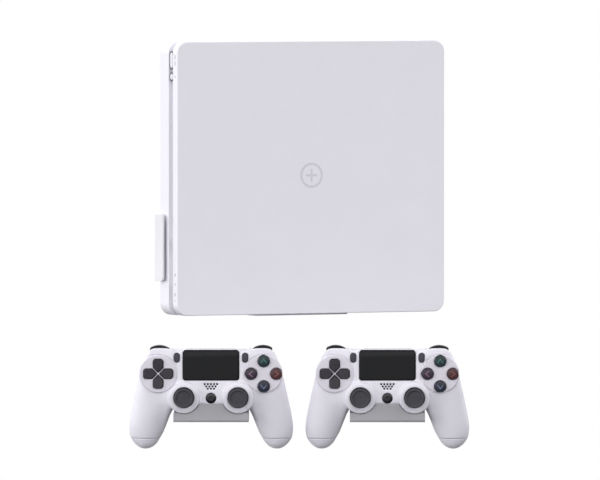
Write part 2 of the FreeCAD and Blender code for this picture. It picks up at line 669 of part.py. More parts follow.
def direction_pad(name, pose):
    """A rocking cross of four arms on a disc, over a small spider that lets it tip both ways."""
    body = doc.addObject("PartDesign::Body", "DirectionPad")
    base = body_sketch(body, offset="disc_low")
    circle(base, "0", "0", "disc_radius")
    pad(body, base, "disc_high - disc_low")
    arm = body_sketch(body, offset="disc_high")
    closed_line(arm, arm_corners("arm_web", "0"))
    first = pad(body, arm, "arm_high - disc_high")
    pattern = body.newObject("PartDesign::PolarPattern", "Arms")
    pattern.Originals = [first]
    pattern.Axis = ([f for f in body.Origin.OriginFeatures if f.Role == "Z_Axis"][0], [""])
    pattern.Occurrences = 4
    body.Tip = pattern
    ears = []
    for low, high in (("-4.4", "-2.8"), ("2.8", "4.4")):
        ears.append(box(("-2.2", low, "spider_z - 1.7"), ("2.2", high, "disc_low + 0.5")))
    bore = cylinder("1.3 + running", ("0", "-6", "spider_z"), "12", "y")
    centre = Placement(Vector(number("-cluster_x"), number("cluster_y"), 0), Rotation())
    keep(name + "direction_pad", cut(fuse(body, *ears), bore), pose, centre)
    spider = fuse(cylinder("1.3", ("-6.3", "0", "spider_z"), "12.6", "x"),
                  cylinder("1.3", ("0", "-4.5", "spider_z"), "9", "y"))
    keep(name + "direction_pad_pivot", spider, pose, centre)


def sticks(name, pose):
    for side, sign in (("left_", -1), ("right_", 1)):
        profile = doc.addObject("Sketcher::SketchObject", "CapProfile")
        closed_line(profile, [("0", "cap_high - 1.7"), ("6.2", "cap_high - 1.3"), ("7.4", "cap_high"),
                              ("cap_radius - 0.9", "cap_high"), ("cap_radius", "cap_high - 1"),
                              ("cap_radius", "cap_low + 1.7"), ("cap_radius - 1.6", "cap_low"),
                              ("neck + 0.9", "cap_low - 0.8"), ("neck", "cap_low - 2.4"),
                              ("neck", "stick_z + dome_out - 1"), ("0", "stick_z + dome_out - 1")])
        profile.Placement = Placement(Vector(), STAND_UP)
        cap = doc.addObject("Part::Revolution", "Cap")
        cap.Source = profile
        cap.Axis = UP
        cap.Angle = 360
        cap.Solid = True
        dome = cut(sphere("dome_out", ("0", "0", "stick_z"), 24), sphere("dome_in", ("0", "0", "stick_z")))
        blade = fuse(box(("-1.7", "-tongue/2", "stick_z"), ("1.7", "tongue/2", "stick_z + dome_in + 0.4")),
                     cylinder("2.2", ("0", "-tongue/2", "stick_z"), "tongue", "y"))
        centre = Placement(Vector(sign * number("stick_x"), 0, 0), Rotation())
        keep(name + side + "stick", fuse(cap, dome, blade), pose, centre)
        bar = fuse(cylinder("rocker_radius", ("-6", "0", "stick_z"), "12", "x"),
                   cylinder("journal", ("-box_half", "0", "stick_z"), "2*box_half", "x"))
        slot = box(("-4.9", "-tongue/2 - 0.1", "stick_z - 5"), ("4.9", "tongue/2 + 0.1", "stick_z + 5"))
        keep(name + side + "stick_rocker", cut(bar, slot), pose, centre)


def shoulder_buttons(name, pose):
    for side, sign in (("left_", -1), ("right_", 1)):
        low, high = (("bump_in", "bump_out") if sign > 0 else ("-bump_out", "-bump_in"))
        block = rounded_box((low, "bump_low - 1", "bump_back"), (high, "bump_high", "bump_front"), "1.5",
                            Vector(0, 1, 0))
        arc = cylinder("bump_arc", ("%d*(bump_in + bump_out)/2" % sign, "bump_high - bump_arc", "10"), "40")
        keep(name + side + "bumper", common(block, arc), pose)
        corners = [("46.9", "21.3"), ("47.2", "14"), ("45.6", "7"), ("42.8", "4.6"), ("41.4", "6.8"),
                   ("43.3", "14"), ("42.4", "18.4"), ("pin_y", "pin_z - boss"), ("pin_y", "pin_z + boss"),
                   ("44.2", "21.3")]
        inner = ("bump_in + 0.3", "bump_out - 0.3") if sign > 0 else ("-bump_out + 0.3", "-bump_in - 0.3")
        paddle = extruded(corners, inner[0], inner[1], "YZ")
        boss = cylinder("boss", (inner[0], "pin_y", "pin_z"), "bump_out - bump_in - 0.6", "x")
        bore = cylinder("pin_radius + running", (inner[0] + " - 1", "pin_y", "pin_z"), "30", "x")
        keep(name + side + "trigger", cut(fuse(paddle, boss), bore), pose)


def electronics(name, pose):
    """Board, stick boxes, rubber domes, battery, rumble motors and light guide, as separate solids."""
    top = "board_high"
    parts = [box(("-58", "-7.2", "board_low"), ("58", "35.6", top))]
    for sign in ("", "-"):
        x = sign + "stick_x"
        shell = box((x + " - box_half", "-box_half", top), (x + " + box_half", "box_half", "36.2"))
        room = box((x + " - box_hole", "-box_hole", top + " + 0.8"), (x + " + box_hole", "box_hole", "40"))
        bore = cylinder("journal + running", (x + " - 10", "0", "stick_z"), "20", "x")
        parts.append(cut(shell, room, bore))
        motor = cylinder("9", ("%s60" % sign, "-15", "12"), "14")
        parts.append(motor)
    for low, high in (("4.6", "6.2"), ("-6.2", "-4.6")):
        post = box(("-cluster_x + " + low, "cluster_y - 2.2", top),
                   ("-cluster_x + " + high, "cluster_y + 2.2", "35.4"))
        bore = cylinder("1.3 + running", ("-cluster_x - 10", "cluster_y", "spider_z"), "20", "x")
        parts.append(cut(post, bore))
    parts += [cylinder("3.6", (x, y, top), "5.2") for x, y in KEYS.values()]
    parts.append(rounded_box(("-26", "10", "17.6"), ("26", "42", "25.6"), "2"))
    parts.append(box(("-23.9", "42.4", "17.3"), ("23.9", "46.5", "24.7")))
    keep(name + "electronics", group(*parts), pose)


def controller_bracket(name, pose):
    body = doc.addObject("PartDesign::Body", "ControllerBracket")
    back = body_sketch(body)
    closed_line(back, [("-hook_half", "hook_low"), ("hook_half", "hook_low"), ("hook_half", "hook_back"),
                       ("-hook_half", "hook_back")])
    pad(body, back, "hook_sheet")
    shelf = body_sketch(body, offset="hook_sheet")
    closed_line(shelf, [("-hook_half", "hook_low"), ("hook_half", "hook_low"),
                        ("hook_half", "hook_low + hook_sheet"), ("-hook_half", "hook_low + hook_sheet")])
    pad(body, shelf, "hook_front - hook_sheet")
    lip = body_sketch(body, offset="hook_front - hook_sheet")
    closed_line(lip, [("-hook_half", "hook_low + hook_sheet"), ("hook_half", "hook_low + hook_sheet"),
                      ("hook_half", "hook_lip"), ("-hook_half", "hook_lip")])
    pad(body, lip, "hook_sheet")
    holes = body_sketch(body)
    for sign in ("-", ""):
        circle(holes, sign + "hook_bolt_x", "hook_bolt_y", "bolt_radius")
    pocket(body, holes, "hook_sheet")
    bites = [cylinder("scallop", (sign + "stick_x", "0", "hook_front - hook_sheet - 1"), "6")
             for sign in ("-", "")]
    corners = [box((low, "-14.6", "30"), (high, "0", "50"))
               for low, high in (("-40", "-stick_x"), ("stick_x", "40"))]
    keep(name + "bracket", cut(body, *(bites + corners)), pose)


def controller(name, pose):
    shells(name, pose)
    keys(name, pose)
    direction_pad(name, pose)
    sticks(name, pose)
    shoulder_buttons(name, pose)
    electronics(name, pose)
    controller_bracket(name, pose)


# ---------------------------------------------------------------- the whole set
def write():
    os.makedirs("parts", exist_ok=True)
    for thing in doc.Objects:
        if "Invalid" in thing.State or "Error" in thing.State:
            raise RuntimeError("%s (%s) failed" % (thing.Name, thing.Label))
    for thing in pieces:
        if thing.Shape.isNull() or not thing.Shape.isValid():
            raise RuntimeError(thing.Label + " has no valid shape")
        thing.Shape.exportStep("parts/%s.step" % thing.Label)


bottom_case()
center_frame()
top_cover()
front_buttons()
fan()
heat_sink()
main_board()
drives_and_supply()
connectors()
fasteners_and_feet()
console_bracket()
for player in ("one", "two"):
    spot = Vector(number(player + "_x"), number(player + "_y"), number("hang"))
    turned = Rotation(UP, number("turn")).multiply(STAND_UP)
    controller("player_%s_" % player, Placement(spot, turned))
doc.recompute()
write()
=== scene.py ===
import json
import math

import bmesh
import bpy
import numpy as np
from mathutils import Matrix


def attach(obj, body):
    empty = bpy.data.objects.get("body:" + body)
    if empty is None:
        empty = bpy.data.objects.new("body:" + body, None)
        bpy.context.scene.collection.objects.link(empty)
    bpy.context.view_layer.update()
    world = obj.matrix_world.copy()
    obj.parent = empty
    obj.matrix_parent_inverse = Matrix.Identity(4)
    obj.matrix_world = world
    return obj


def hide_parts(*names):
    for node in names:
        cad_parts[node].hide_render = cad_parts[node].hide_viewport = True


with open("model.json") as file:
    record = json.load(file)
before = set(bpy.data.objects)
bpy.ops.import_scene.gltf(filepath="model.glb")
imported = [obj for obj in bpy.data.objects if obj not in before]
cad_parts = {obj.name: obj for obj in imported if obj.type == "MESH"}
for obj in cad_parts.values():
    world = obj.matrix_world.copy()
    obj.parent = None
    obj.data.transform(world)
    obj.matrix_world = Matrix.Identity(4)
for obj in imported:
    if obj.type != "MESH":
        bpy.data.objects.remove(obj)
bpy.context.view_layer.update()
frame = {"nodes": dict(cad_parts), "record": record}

import openvdb
from mathutils import Matrix, Vector

# Meshes are drawn in millimetres, lying flat: X right, Y up the face, Z out of the wall.
# A matrix per console or controller then stands them up in the row frame, in metres.
MM = 0.001
CONSOLE = Matrix.Rotation(math.radians(90), 4, "X")
FACE_DROP = 10.0  # how far a bracket's wall face mount lies below its controller's stick row


def controller_matrix(name):
    """Stands a controller up where the record puts its bracket's wall face."""
    mount = next(m for m in frame["record"]["mounts"] if m["name"] == name + "_wall_face")
    place = Vector(mount["pos_m"]) + Vector((0, 0, FACE_DROP * MM))
    turn = -math.atan2(mount["axis"][0], mount["axis"][1])
    return Matrix.Translation(place) @ Matrix.Rotation(turn, 4, "Z") @ CONSOLE


PLAYERS = {name: controller_matrix(name) for name in ("player_one", "player_two")}


# ---------------------------------------------------------------- materials
def linear(r, g, b):
    """A screen colour of 0 to 255 as the linear colour that the shader takes."""
    shares = [v / 255 for v in (r, g, b)]
    return tuple(s / 12.92 if s <= 0.04 else ((s + 0.055) / 1.055) ** 2.4 for s in shares) + (1.0,)


def shade(colour, factor):
    return tuple(min(1.0, c * factor) for c in colour[:3]) + (1.0,)


class Graph:
    """A small helper round one material's nodes."""

    def __init__(self, name):
        self.material = bpy.data.materials.new(name)
        self.material.use_nodes = True
        self.nodes = self.material.node_tree.nodes
        self.shader = self.nodes["Principled BSDF"]
        coordinates = self.add("ShaderNodeTexCoord")
        self.place = coordinates.outputs["Object"]

    def add(self, kind, **values):
        node = self.nodes.new(kind)
        for key, value in values.items():
            if key in node.inputs.keys():
                node.inputs[key].default_value = value
            else:
                setattr(node, key, value)
        return node

    def link(self, a, b):
        self.material.node_tree.links.new(a, b)

    def noise(self, scale, detail=3.0, rough=0.55, stretch=None):
        node = self.add("ShaderNodeTexNoise", Scale=scale, Detail=detail, Roughness=rough)
        source = self.place
        if stretch:
            mapping = self.add("ShaderNodeMapping", Scale=stretch)
            self.link(source, mapping.inputs["Vector"])
            source = mapping.outputs["Vector"]
        self.link(source, node.inputs["Vector"])
        return node.outputs["Fac"]

    def spread(self, factor, low, high):
        node = self.add("ShaderNodeMapRange")
        node.inputs["From Min"].default_value = 0.3
        node.inputs["From Max"].default_value = 0.7
        node.inputs["To Min"].default_value = low
        node.inputs["To Max"].default_value = high
        self.link(factor, node.inputs["Value"])
        return node.outputs["Result"]

    def mix(self, factor, one, two):
        node = self.add("ShaderNodeMix", data_type="RGBA")
        self.link(factor, node.inputs["Factor"])
        for socket, value in ((node.inputs[6], one), (node.inputs[7], two)):
            if isinstance(value, tuple):
                socket.default_value = value
            else:
                self.link(value, socket)
        return node.outputs[2]

    def bump(self, heights):
        """Chains bumps: each is (height output, strength, distance in metres)."""
        last = None
        for height, strength, distance in heights:
            node = self.add("ShaderNodeBump", Strength=strength, Distance=distance)
            self.link(height, node.inputs["Height"])
            if last:
                self.link(last, node.inputs["Normal"])
            last = node.outputs["Normal"]
        self.link(last, self.shader.inputs["Normal"])


def moulded(name, colour, rough, grain=1400.0, bump=0.12, vary=0.035, coat=0.0, specular=0.5):
    """Moulded plastic: a fine spark-eroded grain, faint handling marks and slow changes of tone."""
    g = Graph(name)
    slow = g.noise(22.0, 4.0)
    fine = g.noise(grain, 2.0, 0.5)
    marks = g.noise(260.0, 5.0, 0.7)
    tone = g.mix(g.spread(slow, 0.0, 1.0), shade(colour, 1 - vary), shade(colour, 1 + vary * 0.4))
    tone = g.mix(g.spread(fine, 0.0, 0.35), tone, shade(colour, 0.93))
    g.link(tone, g.shader.inputs["Base Color"])
    g.link(g.spread(marks, rough - 0.05, rough + 0.07), g.shader.inputs["Roughness"])
    g.bump([(fine, bump, 0.00012), (marks, bump * 0.35, 0.0002)])
    g.shader.inputs["Specular IOR Level"].default_value = specular
    g.shader.inputs["Coat Weight"].default_value = coat
    g.shader.inputs["Coat Roughness"].default_value = 0.08
    return g.material


def glossy(name, colour, rough=0.12, specular=0.35):
    """Polished dark plastic with faint wipe marks."""
    g = Graph(name)
    smear = g.noise(55.0, 5.0, 0.6, stretch=(1.0, 2.6, 1.0))
    dust = g.noise(1900.0, 2.0)
    tone = g.mix(g.spread(smear, 0.0, 1.0), shade(colour, 0.82), shade(colour, 1.25))
    g.link(tone, g.shader.inputs["Base Color"])
    g.link(g.spread(smear, rough - 0.04, rough + 0.1), g.shader.inputs["Roughness"])
    g.bump([(dust, 0.03, 0.00005)])
    g.shader.inputs["Specular IOR Level"].default_value = specular
    g.shader.inputs["Coat Weight"].default_value = 0.2
    g.shader.inputs["Coat Roughness"].default_value = 0.06
    return g.material


def rubber(name, colour):
    g = Graph(name)
    fine = g.noise(2200.0, 3.0)
    bloom = g.noise(90.0, 4.0)
    tone = g.mix(g.spread(bloom, 0.0, 1.0), shade(colour, 0.85), shade(colour, 1.3))
    g.link(tone, g.shader.inputs["Base Color"])
    g.link(g.spread(bloom, 0.58, 0.74), g.shader.inputs["Roughness"])
    g.bump([(fine, 0.25, 0.00012)])
    g.shader.inputs["Specular IOR Level"].default_value = 0.25
    return g.material


def coated(name, colour, rough=0.5):
    """Powder coat on steel sheet: an orange-peel surface with a few dust specks."""
    g = Graph(name)
    peel = g.noise(620.0, 3.0, 0.6)
    slow = g.noise(14.0, 3.0)
    specks = g.noise(3200.0, 1.0)
    tone = g.mix(g.spread(slow, 0.0, 1.0), shade(colour, 0.95), shade(colour, 1.03))
    tone = g.mix(g.spread(specks, 0.0, 0.3), tone, shade(colour, 0.86))
    g.link(tone, g.shader.inputs["Base Color"])
    g.link(g.spread(peel, rough - 0.06, rough + 0.08), g.shader.inputs["Roughness"])
    g.bump([(peel, 0.22, 0.00022), (specks, 0.06, 0.0001)])
    return g.material


def metal(name, colour, rough=0.32, stretch=(1.0, 40.0, 1.0)):
    """Brushed metal: streaks along one way, in tone and in height."""
    g = Graph(name)
    streaks = g.noise(420.0, 4.0, 0.6, stretch=stretch)
    slow = g.noise(30.0, 3.0)
    tone = g.mix(g.spread(streaks, 0.0, 1.0), shade(colour, 0.86), shade(colour, 1.08))
    g.link(tone, g.shader.inputs["Base Color"])
    g.link(g.spread(slow, rough - 0.07, rough + 0.1), g.shader.inputs["Roughness"])
    g.bump([(streaks, 0.15, 0.00008)])
    g.shader.inputs["Metallic"].default_value = 1.0
    return g.material


def circuit(name):
    """Circuit board lacquer with etched tracks showing through."""
    g = Graph(name)
    bricks = g.add("ShaderNodeTexBrick", Scale=260.0)
    bricks.inputs["Color1"].default_value = linear(24, 74, 52)
    bricks.inputs["Color2"].default_value = linear(30, 86, 60)
    bricks.inputs["Mortar"].default_value = linear(62, 122, 86)
    bricks.inputs["Mortar Size"].default_value = 0.03
    g.link(g.place, bricks.inputs["Vector"])
    slow = g.noise(80.0, 4.0)
    tone = g.mix(g.spread(slow, 0.0, 0.5), bricks.outputs["Color"], linear(18, 58, 42))
    g.link(tone, g.shader.inputs["Base Color"])
    g.link(g.spread(slow, 0.3, 0.45), g.shader.inputs["Roughness"])
    g.bump([(bricks.outputs["Fac"], 0.3, 0.00006)])
    return g.material


CASE_WHITE = moulded("case_white", linear(232, 231, 237), 0.52, vary=0.02)
BAND_WHITE = moulded("band_white", linear(222, 222, 228), 0.42, bump=0.08)
SHELL_WHITE = moulded("shell_white", linear(227, 225, 233), 0.46, grain=1700.0, bump=0.16)
DISC_WHITE = moulded("disc_white", linear(214, 211, 220), 0.5, grain=1100.0, bump=0.2)
MARK_GREY = moulded("mark_grey", linear(212, 212, 218), 0.3, bump=0.04)
STEEL_WHITE = coated("steel_white", linear(226, 226, 230))
STEEL_GREY = coated("steel_grey", linear(164, 164, 168))
BUTTON_DARK = moulded("button_dark", linear(50, 48, 54), 0.5, vary=0.08, specular=0.3)
BUTTON_GREY = moulded("button_grey", linear(63, 62, 70), 0.5, vary=0.06, specular=0.3)
# Dark grey for two uses: the rings round the console buttons, painted shadow for the shaded gaps there, and
# the port pips' own colour.
GAP_SHADE_AND_PIP_GREY = moulded("surround", linear(104, 104, 108), 0.5, vary=0.05, specular=0.3)
GLOSS_BLACK = glossy("gloss_black", linear(14, 14, 17))
PAD_BLACK = moulded("pad_black", linear(15, 16, 18), 0.36, grain=2600.0, bump=0.12, vary=0.06, specular=0.2)
DOME_DARK = moulded("dome_dark", linear(34, 34, 37), 0.4, vary=0.06, specular=0.3)
STICK_RUBBER = rubber("stick_rubber", linear(60, 60, 65))
DISH_RUBBER = rubber("dish_rubber", linear(44, 44, 49))
FOOT_RUBBER = rubber("foot_rubber", linear(44, 44, 46))
INNER_DARK = moulded("inner_dark", linear(52, 52, 55), 0.5, vary=0.08)
ALUMINIUM = metal("aluminium", (0.72, 0.73, 0.75, 1.0))
STEEL = metal("plain_steel", (0.56, 0.56, 0.58, 1.0), 0.28)
BOARD = circuit("circuit_board")
BATTERY = coated("battery_sleeve", linear(86, 92, 104), 0.4)
GUIDE = moulded("light_guide", linear(58, 60, 70), 0.22, bump=0.03, coat=0.4)
GRILLE = rubber("grille_cloth", linear(12, 12, 14))
KEY_TINTS = {
    "top": moulded("key_green", linear(26, 44, 46), 0.3, vary=0.08, coat=0.15, specular=0.3),
    "left": moulded("key_purple", linear(46, 36, 50), 0.3, vary=0.08, coat=0.15, specular=0.3),
    "right": moulded("key_red", linear(66, 36, 38), 0.3, vary=0.08, coat=0.15, specular=0.3),
    "bottom": moulded("key_blue", linear(30, 33, 50), 0.3, vary=0.08, coat=0.15, specular=0.3),
}
MARKS = {
    "top": moulded("mark_teal", linear(64, 138, 126), 0.35, bump=0.03),
    "left": moulded("mark_pink", linear(160, 120, 148), 0.35, bump=0.03),
    "right": moulded("mark_red", linear(160, 80, 78), 0.35, bump=0.03),
    "bottom": moulded("mark_blue", linear(118, 134, 168), 0.35, bump=0.03),
}


# ---------------------------------------------------------------- meshes
def softened(mesh, sharp=35.0):
    """Smooth shading up to an angle, with the broad flat faces left flat."""
    mesh.shade_smooth()
    mesh.set_sharp_from_angle(angle=math.radians(sharp))
    for face in mesh.polygons:
        face.use_smooth = len(face.vertices) < 5 or face.area < 4e-5
    return mesh


def as_mesh(name, points, faces, sharp=35.0):
    mesh = bpy.data.meshes.new(name)
    mesh.from_pydata([tuple(c * MM for c in p) for p in points], [], faces)
    mesh.update()
    work = bmesh.new()
    work.from_mesh(mesh)
    bmesh.ops.remove_doubles(work, verts=work.verts, dist=1e-6)
    bmesh.ops.recalc_face_normals(work, faces=work.faces)
    work.to_mesh(mesh)
    work.free()
    return softened(mesh, sharp)


def piece(name, mesh, matrix, body, slot, *materials, replaces=()):
    """Puts a copy of a mesh in place as one named piece of the object."""
    mesh = mesh.copy()
    mesh.transform(matrix)
    for material in materials:
        mesh.materials.append(material)
    thing = bpy.data.objects.new(name, mesh)
    bpy.context.scene.collection.objects.link(thing)
    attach(thing, body)
    if replaces:
        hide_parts(*replaces)
    return thing


def joined(name, parts, sharp=35.0):
    """One mesh from several (points, faces) shells."""
    points, faces = [], []
    for some, sides in parts:
        start = len(points)
        points += [tuple(p) for p in some]
        faces += [tuple(i + start for i in side) for side in sides]
    return as_mesh(name, points, faces, sharp)


def circle(x, y, radius, count=48):
    turn = 2 * math.pi / count
    return [(x + radius * math.cos(i * turn), y + radius * math.sin(i * turn)) for i in range(count)]


def rounded(corners, radius, steps=5):
    """A polygon, anticlockwise, with each corner turned into an arc. radius is one size or one per corner."""
    out = []
    count = len(corners)
    radii = radius if isinstance(radius, (list, tuple)) else [radius] * count
    for i, here in enumerate(corners):
        p, a, b = (Vector(q) for q in (here, corners[i - 1], corners[(i + 1) % count]))
        one, two = (a - p).normalized(), (b - p).normalized()
        half = one.angle(two) / 2
        size = min(radii[i] / math.tan(half), 0.48 * (a - p).length, 0.48 * (b - p).length)
        true = size * math.tan(half)
        centre = p + (one + two).normalized() * (true / math.sin(half))
        start, end = p + one * size - centre, p + two * size - centre
        sweep = start.angle_signed(end) * -1
        for k in range(steps + 1):
            spin = Matrix.Rotation(sweep * k / steps, 2)
            out.append(tuple(centre + spin @ start))
    return out


def rectangle(low, high, radius, steps=5):
    (x0, y0), (x1, y1) = low, high
    return rounded([(x1, y0), (x1, y1), (x0, y1), (x0, y0)], radius, steps)


def inset(outline, amount):
    """The outline drawn in by amount, each point along the bisector of its edges."""
    pts = np.array(outline, float)
    ahead = np.roll(pts, -1, 0) - pts
    ahead /= np.maximum(np.linalg.norm(ahead, axis=1), 1e-9)[:, None]
    behind = np.roll(ahead, 1, 0)
    normal = np.stack([-(ahead[:, 1] + behind[:, 1]), ahead[:, 0] + behind[:, 0]], 1)
    normal /= np.maximum(np.linalg.norm(normal, axis=1), 1e-9)[:, None]
    square = np.maximum(normal[:, 0] * -ahead[:, 1] + normal[:, 1] * ahead[:, 0], 0.4)
    return pts + normal * (amount / square)[:, None]


def stack(rings):
    """Closed shell through rings of the same count of points, capped at both ends."""
    count = len(rings[0])
    points = [tuple(p) for ring in rings for p in ring]
    faces = [tuple(range(count))[::-1]]
    for r in range(len(rings) - 1):
        a, b = r * count, (r + 1) * count
        faces += [(a + i, a + (i + 1) % count, b + (i + 1) % count, b + i) for i in range(count)]
    faces.append(tuple(range((len(rings) - 1) * count, len(rings) * count)))
    return points, faces


def edge_profile(low, high, edge_low, edge_high, steps=4):
    """Pairs of inset and height, up the side of a block with rounded edges."""
    out = []
    for k in range(steps + 1 if edge_low else 1):
        t = math.pi / 2 * (k / steps if edge_low else 1)
        out.append((edge_low * (1 - math.sin(t)), low + edge_low * (1 - math.cos(t))))
    for k in range(steps + 1 if edge_high else 1):
        t = math.pi / 2 * (k / steps if edge_high else 0)
        out.append((edge_high * (1 - math.cos(t)), high - edge_high * (1 - math.sin(t))))
    return out


def block(outline, low, high, edge_low=0.0, edge_high=0.0, extra=(), steps=4):
    """A prism with rounded edges; extra pairs of inset and height carry on from its top."""
    rings = []
    for drawn_in, z in edge_profile(low, high, edge_low, edge_high, steps) + list(extra):
        rings.append([(x, y, z) for x, y in inset(outline, drawn_in)])
    return stack(rings)


def lathe(profile, x=0.0, y=0.0, count=72, knurl=None):
    """Revolves (radius, height) pairs about Z. knurl(radius, height, angle) may change the radius."""
    rings = []
    for radius, z in profile:
        ring = []
        for i in range(count):
            t = 2 * math.pi * i / count
            r = radius + (knurl(radius, z, t) if knurl else 0.0)
            ring.append((x + max(r, 0.02) * math.cos(t), y + max(r, 0.02) * math.sin(t), z))
        rings.append(ring)
    return stack(rings)


def moved(shell, turn=0.0, x=0.0, y=0.0):
    points, faces = shell
    c, s = math.cos(turn), math.sin(turn)
    return [(p[0] * c - p[1] * s + x, p[0] * s + p[1] * c + y, p[2]) for p in points], faces


def swap(shell, order, flip=False):
    """The same shell with its axes renamed, such as (2, 0, 1) for x from z, y from x, z from y."""
    points, faces = shell
    points = [tuple(p[i] for i in order) for p in points]
    return points, [side[::-1] for side in faces] if flip else faces


def with_modifier(mesh, kind, **values):
    """Applies one modifier to a mesh and returns the result as a new mesh."""
    thing = bpy.data.objects.new("work", mesh)
    bpy.context.scene.collection.objects.link(thing)
    modifier = thing.modifiers.new("work", kind)
    for key, value in values.items():
        setattr(modifier, key, value)
    bpy.context.view_layer.update()
    done = bpy.data.meshes.new_from_object(thing.evaluated_get(bpy.context.evaluated_depsgraph_get()))
    bpy.data.objects.remove(thing)
    return done


def carved(mesh, tools):
    """The mesh with the tool shells cut away."""
    cutter = bpy.data.objects.new("cutter", joined("cutter", tools))
    bpy.context.scene.collection.objects.link(cutter)
    done = with_modifier(mesh, "BOOLEAN", operation="DIFFERENCE", solver="EXACT", use_self=True,
                         object=cutter)
    bpy.data.objects.remove(cutter)
    return done


def eased(mesh, width, sharp=35.0):
    """The mesh with its sharp edges rounded by a small width in millimetres."""
    done = with_modifier(mesh, "BEVEL", width=width * MM, segments=3, limit_method="ANGLE",
                         angle_limit=math.radians(38), use_clamp_overlap=True)
    return softened(done, sharp)


def sliced(mesh, levels, axis=1):
    """Cuts every face along planes across one axis, so that a flat cap can then be bent."""
    normal = [0.0, 0.0, 0.0]
    normal[axis] = 1.0
    work = bmesh.new()
    work.from_mesh(mesh)
    for level in levels:
        at = [0.0, 0.0, 0.0]
        at[axis] = level * MM
        bmesh.ops.bisect_plane(work, geom=work.verts[:] + work.edges[:] + work.faces[:], plane_co=at,
                               plane_no=normal, dist=1e-7)
    work.to_mesh(mesh)
    work.free()
    return mesh


def shaped(mesh, change):
    """Moves each point to change(x, y, z), all in millimetres."""
    for vertex in mesh.vertices:
        vertex.co = [c * MM for c in change(*(c / MM for c in vertex.co))]
    return softened(mesh)


def brick(low, high):
    return block(rectangle(low[:2], high[:2], 0.01, 1), low[2], high[2])


# ---------------------------------------------------------------- controller shells as one smooth field
HALF_OUTLINE = [
    (0, 46.6), (18, 46.6), (34, 46.7), (39, 47.2), (44, 47.8), (50, 48.0), (55, 47.6), (58.2, 46.4),
    (60.2, 43.6), (62.2, 39.9),
    (64.6, 34.5), (66.9, 29.5), (69.3, 21), (71.2, 12), (72.9, 5), (75.0, -5), (76.6, -12.3), (78.4, -22.8),
    (79.1, -30), (78.1, -38.4), (76.0, -42.5), (73.2, -46.0), (68.6, -49.3), (63.2, -50.4), (57.4, -48.8),
    (52.8, -45), (49.5, -39.9), (45.9, -33.2), (41.8, -22.8), (38.4, -14.8), (34.5, -11.2),
    (18, -10.4), (0, -10.4),
]
STICK_X, CLUSTER_X, CLUSTER_Y, HOME_Y = 26.1, 50.9, 23.1, -0.6
KEYS = {"top": (CLUSTER_X, 35.3), "left": (38.7, CLUSTER_Y), "right": (63.1, CLUSTER_Y),
        "bottom": (CLUSTER_X, 10.9)}
CROSS = (-CLUSTER_X, CLUSTER_Y)
ARM_HOLE = [(0, 0.66), (5.05, 5.71), (5.05, 12.45), (3.15, 14.45), (-3.15, 14.45), (-5.05, 12.45),
            (-5.05, 5.71)]
SPEAKER = [(3.0 * (i - (n - 1) / 2), y) for n, y in ((5, 13.0), (4, 10.8), (3, 8.6)) for i in range(n)]
VOXEL = 0.5
SEAM = 0.14


def spline(half, steps=8):
    """The whole outline as a smooth closed curve through its right half and that half's mirror."""
    pts = list(half) + [(-x, y) for x, y in reversed(half[1:-1])]
    out = []
    for i in range(len(pts)):
        p0, p1, p2, p3 = (np.array(pts[(i + k) % len(pts)], float) for k in (-1, 0, 1, 2))
        for k in range(steps):
            t = k / steps
            out.append(0.5 * (2 * p1 + (p2 - p0) * t + (2 * p0 - 5 * p1 + 4 * p2 - p3) * t * t
                              + (3 * p1 - p0 - 3 * p2 + p3) * t ** 3))
    return np.array(out)


def polygon_distance(X, Y, corners):
    """Signed distance to a polygon: negative outside it, positive inside."""
    best = np.full(X.shape, 1e9, np.float32)
    inside = np.zeros(X.shape, bool)
    for i in range(len(corners)):
        a, b = np.array(corners[i], float), np.array(corners[(i + 1) % len(corners)], float)
        e = b - a
        t = np.clip(((X - a[0]) * e[0] + (Y - a[1]) * e[1]) / max(e @ e, 1e-12), 0, 1)
        best = np.minimum(best, (X - a[0] - t * e[0]) ** 2 + (Y - a[1] - t * e[1]) ** 2)
        if a[1] != b[1]:
            inside ^= ((a[1] > Y) != (b[1] > Y)) & (X < (b[0] - a[0]) * (Y - a[1]) / (b[1] - a[1]) + a[0])
    return np.where(inside, 1, -1) * np.sqrt(best)


def blur(field, times):
    for _ in range(times):
        field = (np.roll(field, 1, 0) + 2 * field + np.roll(field, -1, 0)) / 4
        field = (np.roll(field, 1, 1) + 2 * field + np.roll(field, -1, 1)) / 4
    return field


def ease(value, start, end):
    t = np.clip((value - start) / (end - start), 0, 1)
    return t * t * (3 - 2 * t)


def soft_min(a, b, radius):
    h = np.clip(0.5 + 0.5 * (b - a) / radius, 0, 1)
    return b + (a - b) * h - radius * h * (1 - h)


def soft_max(a, b, radius):
    return -soft_min(-a, -b, radius)


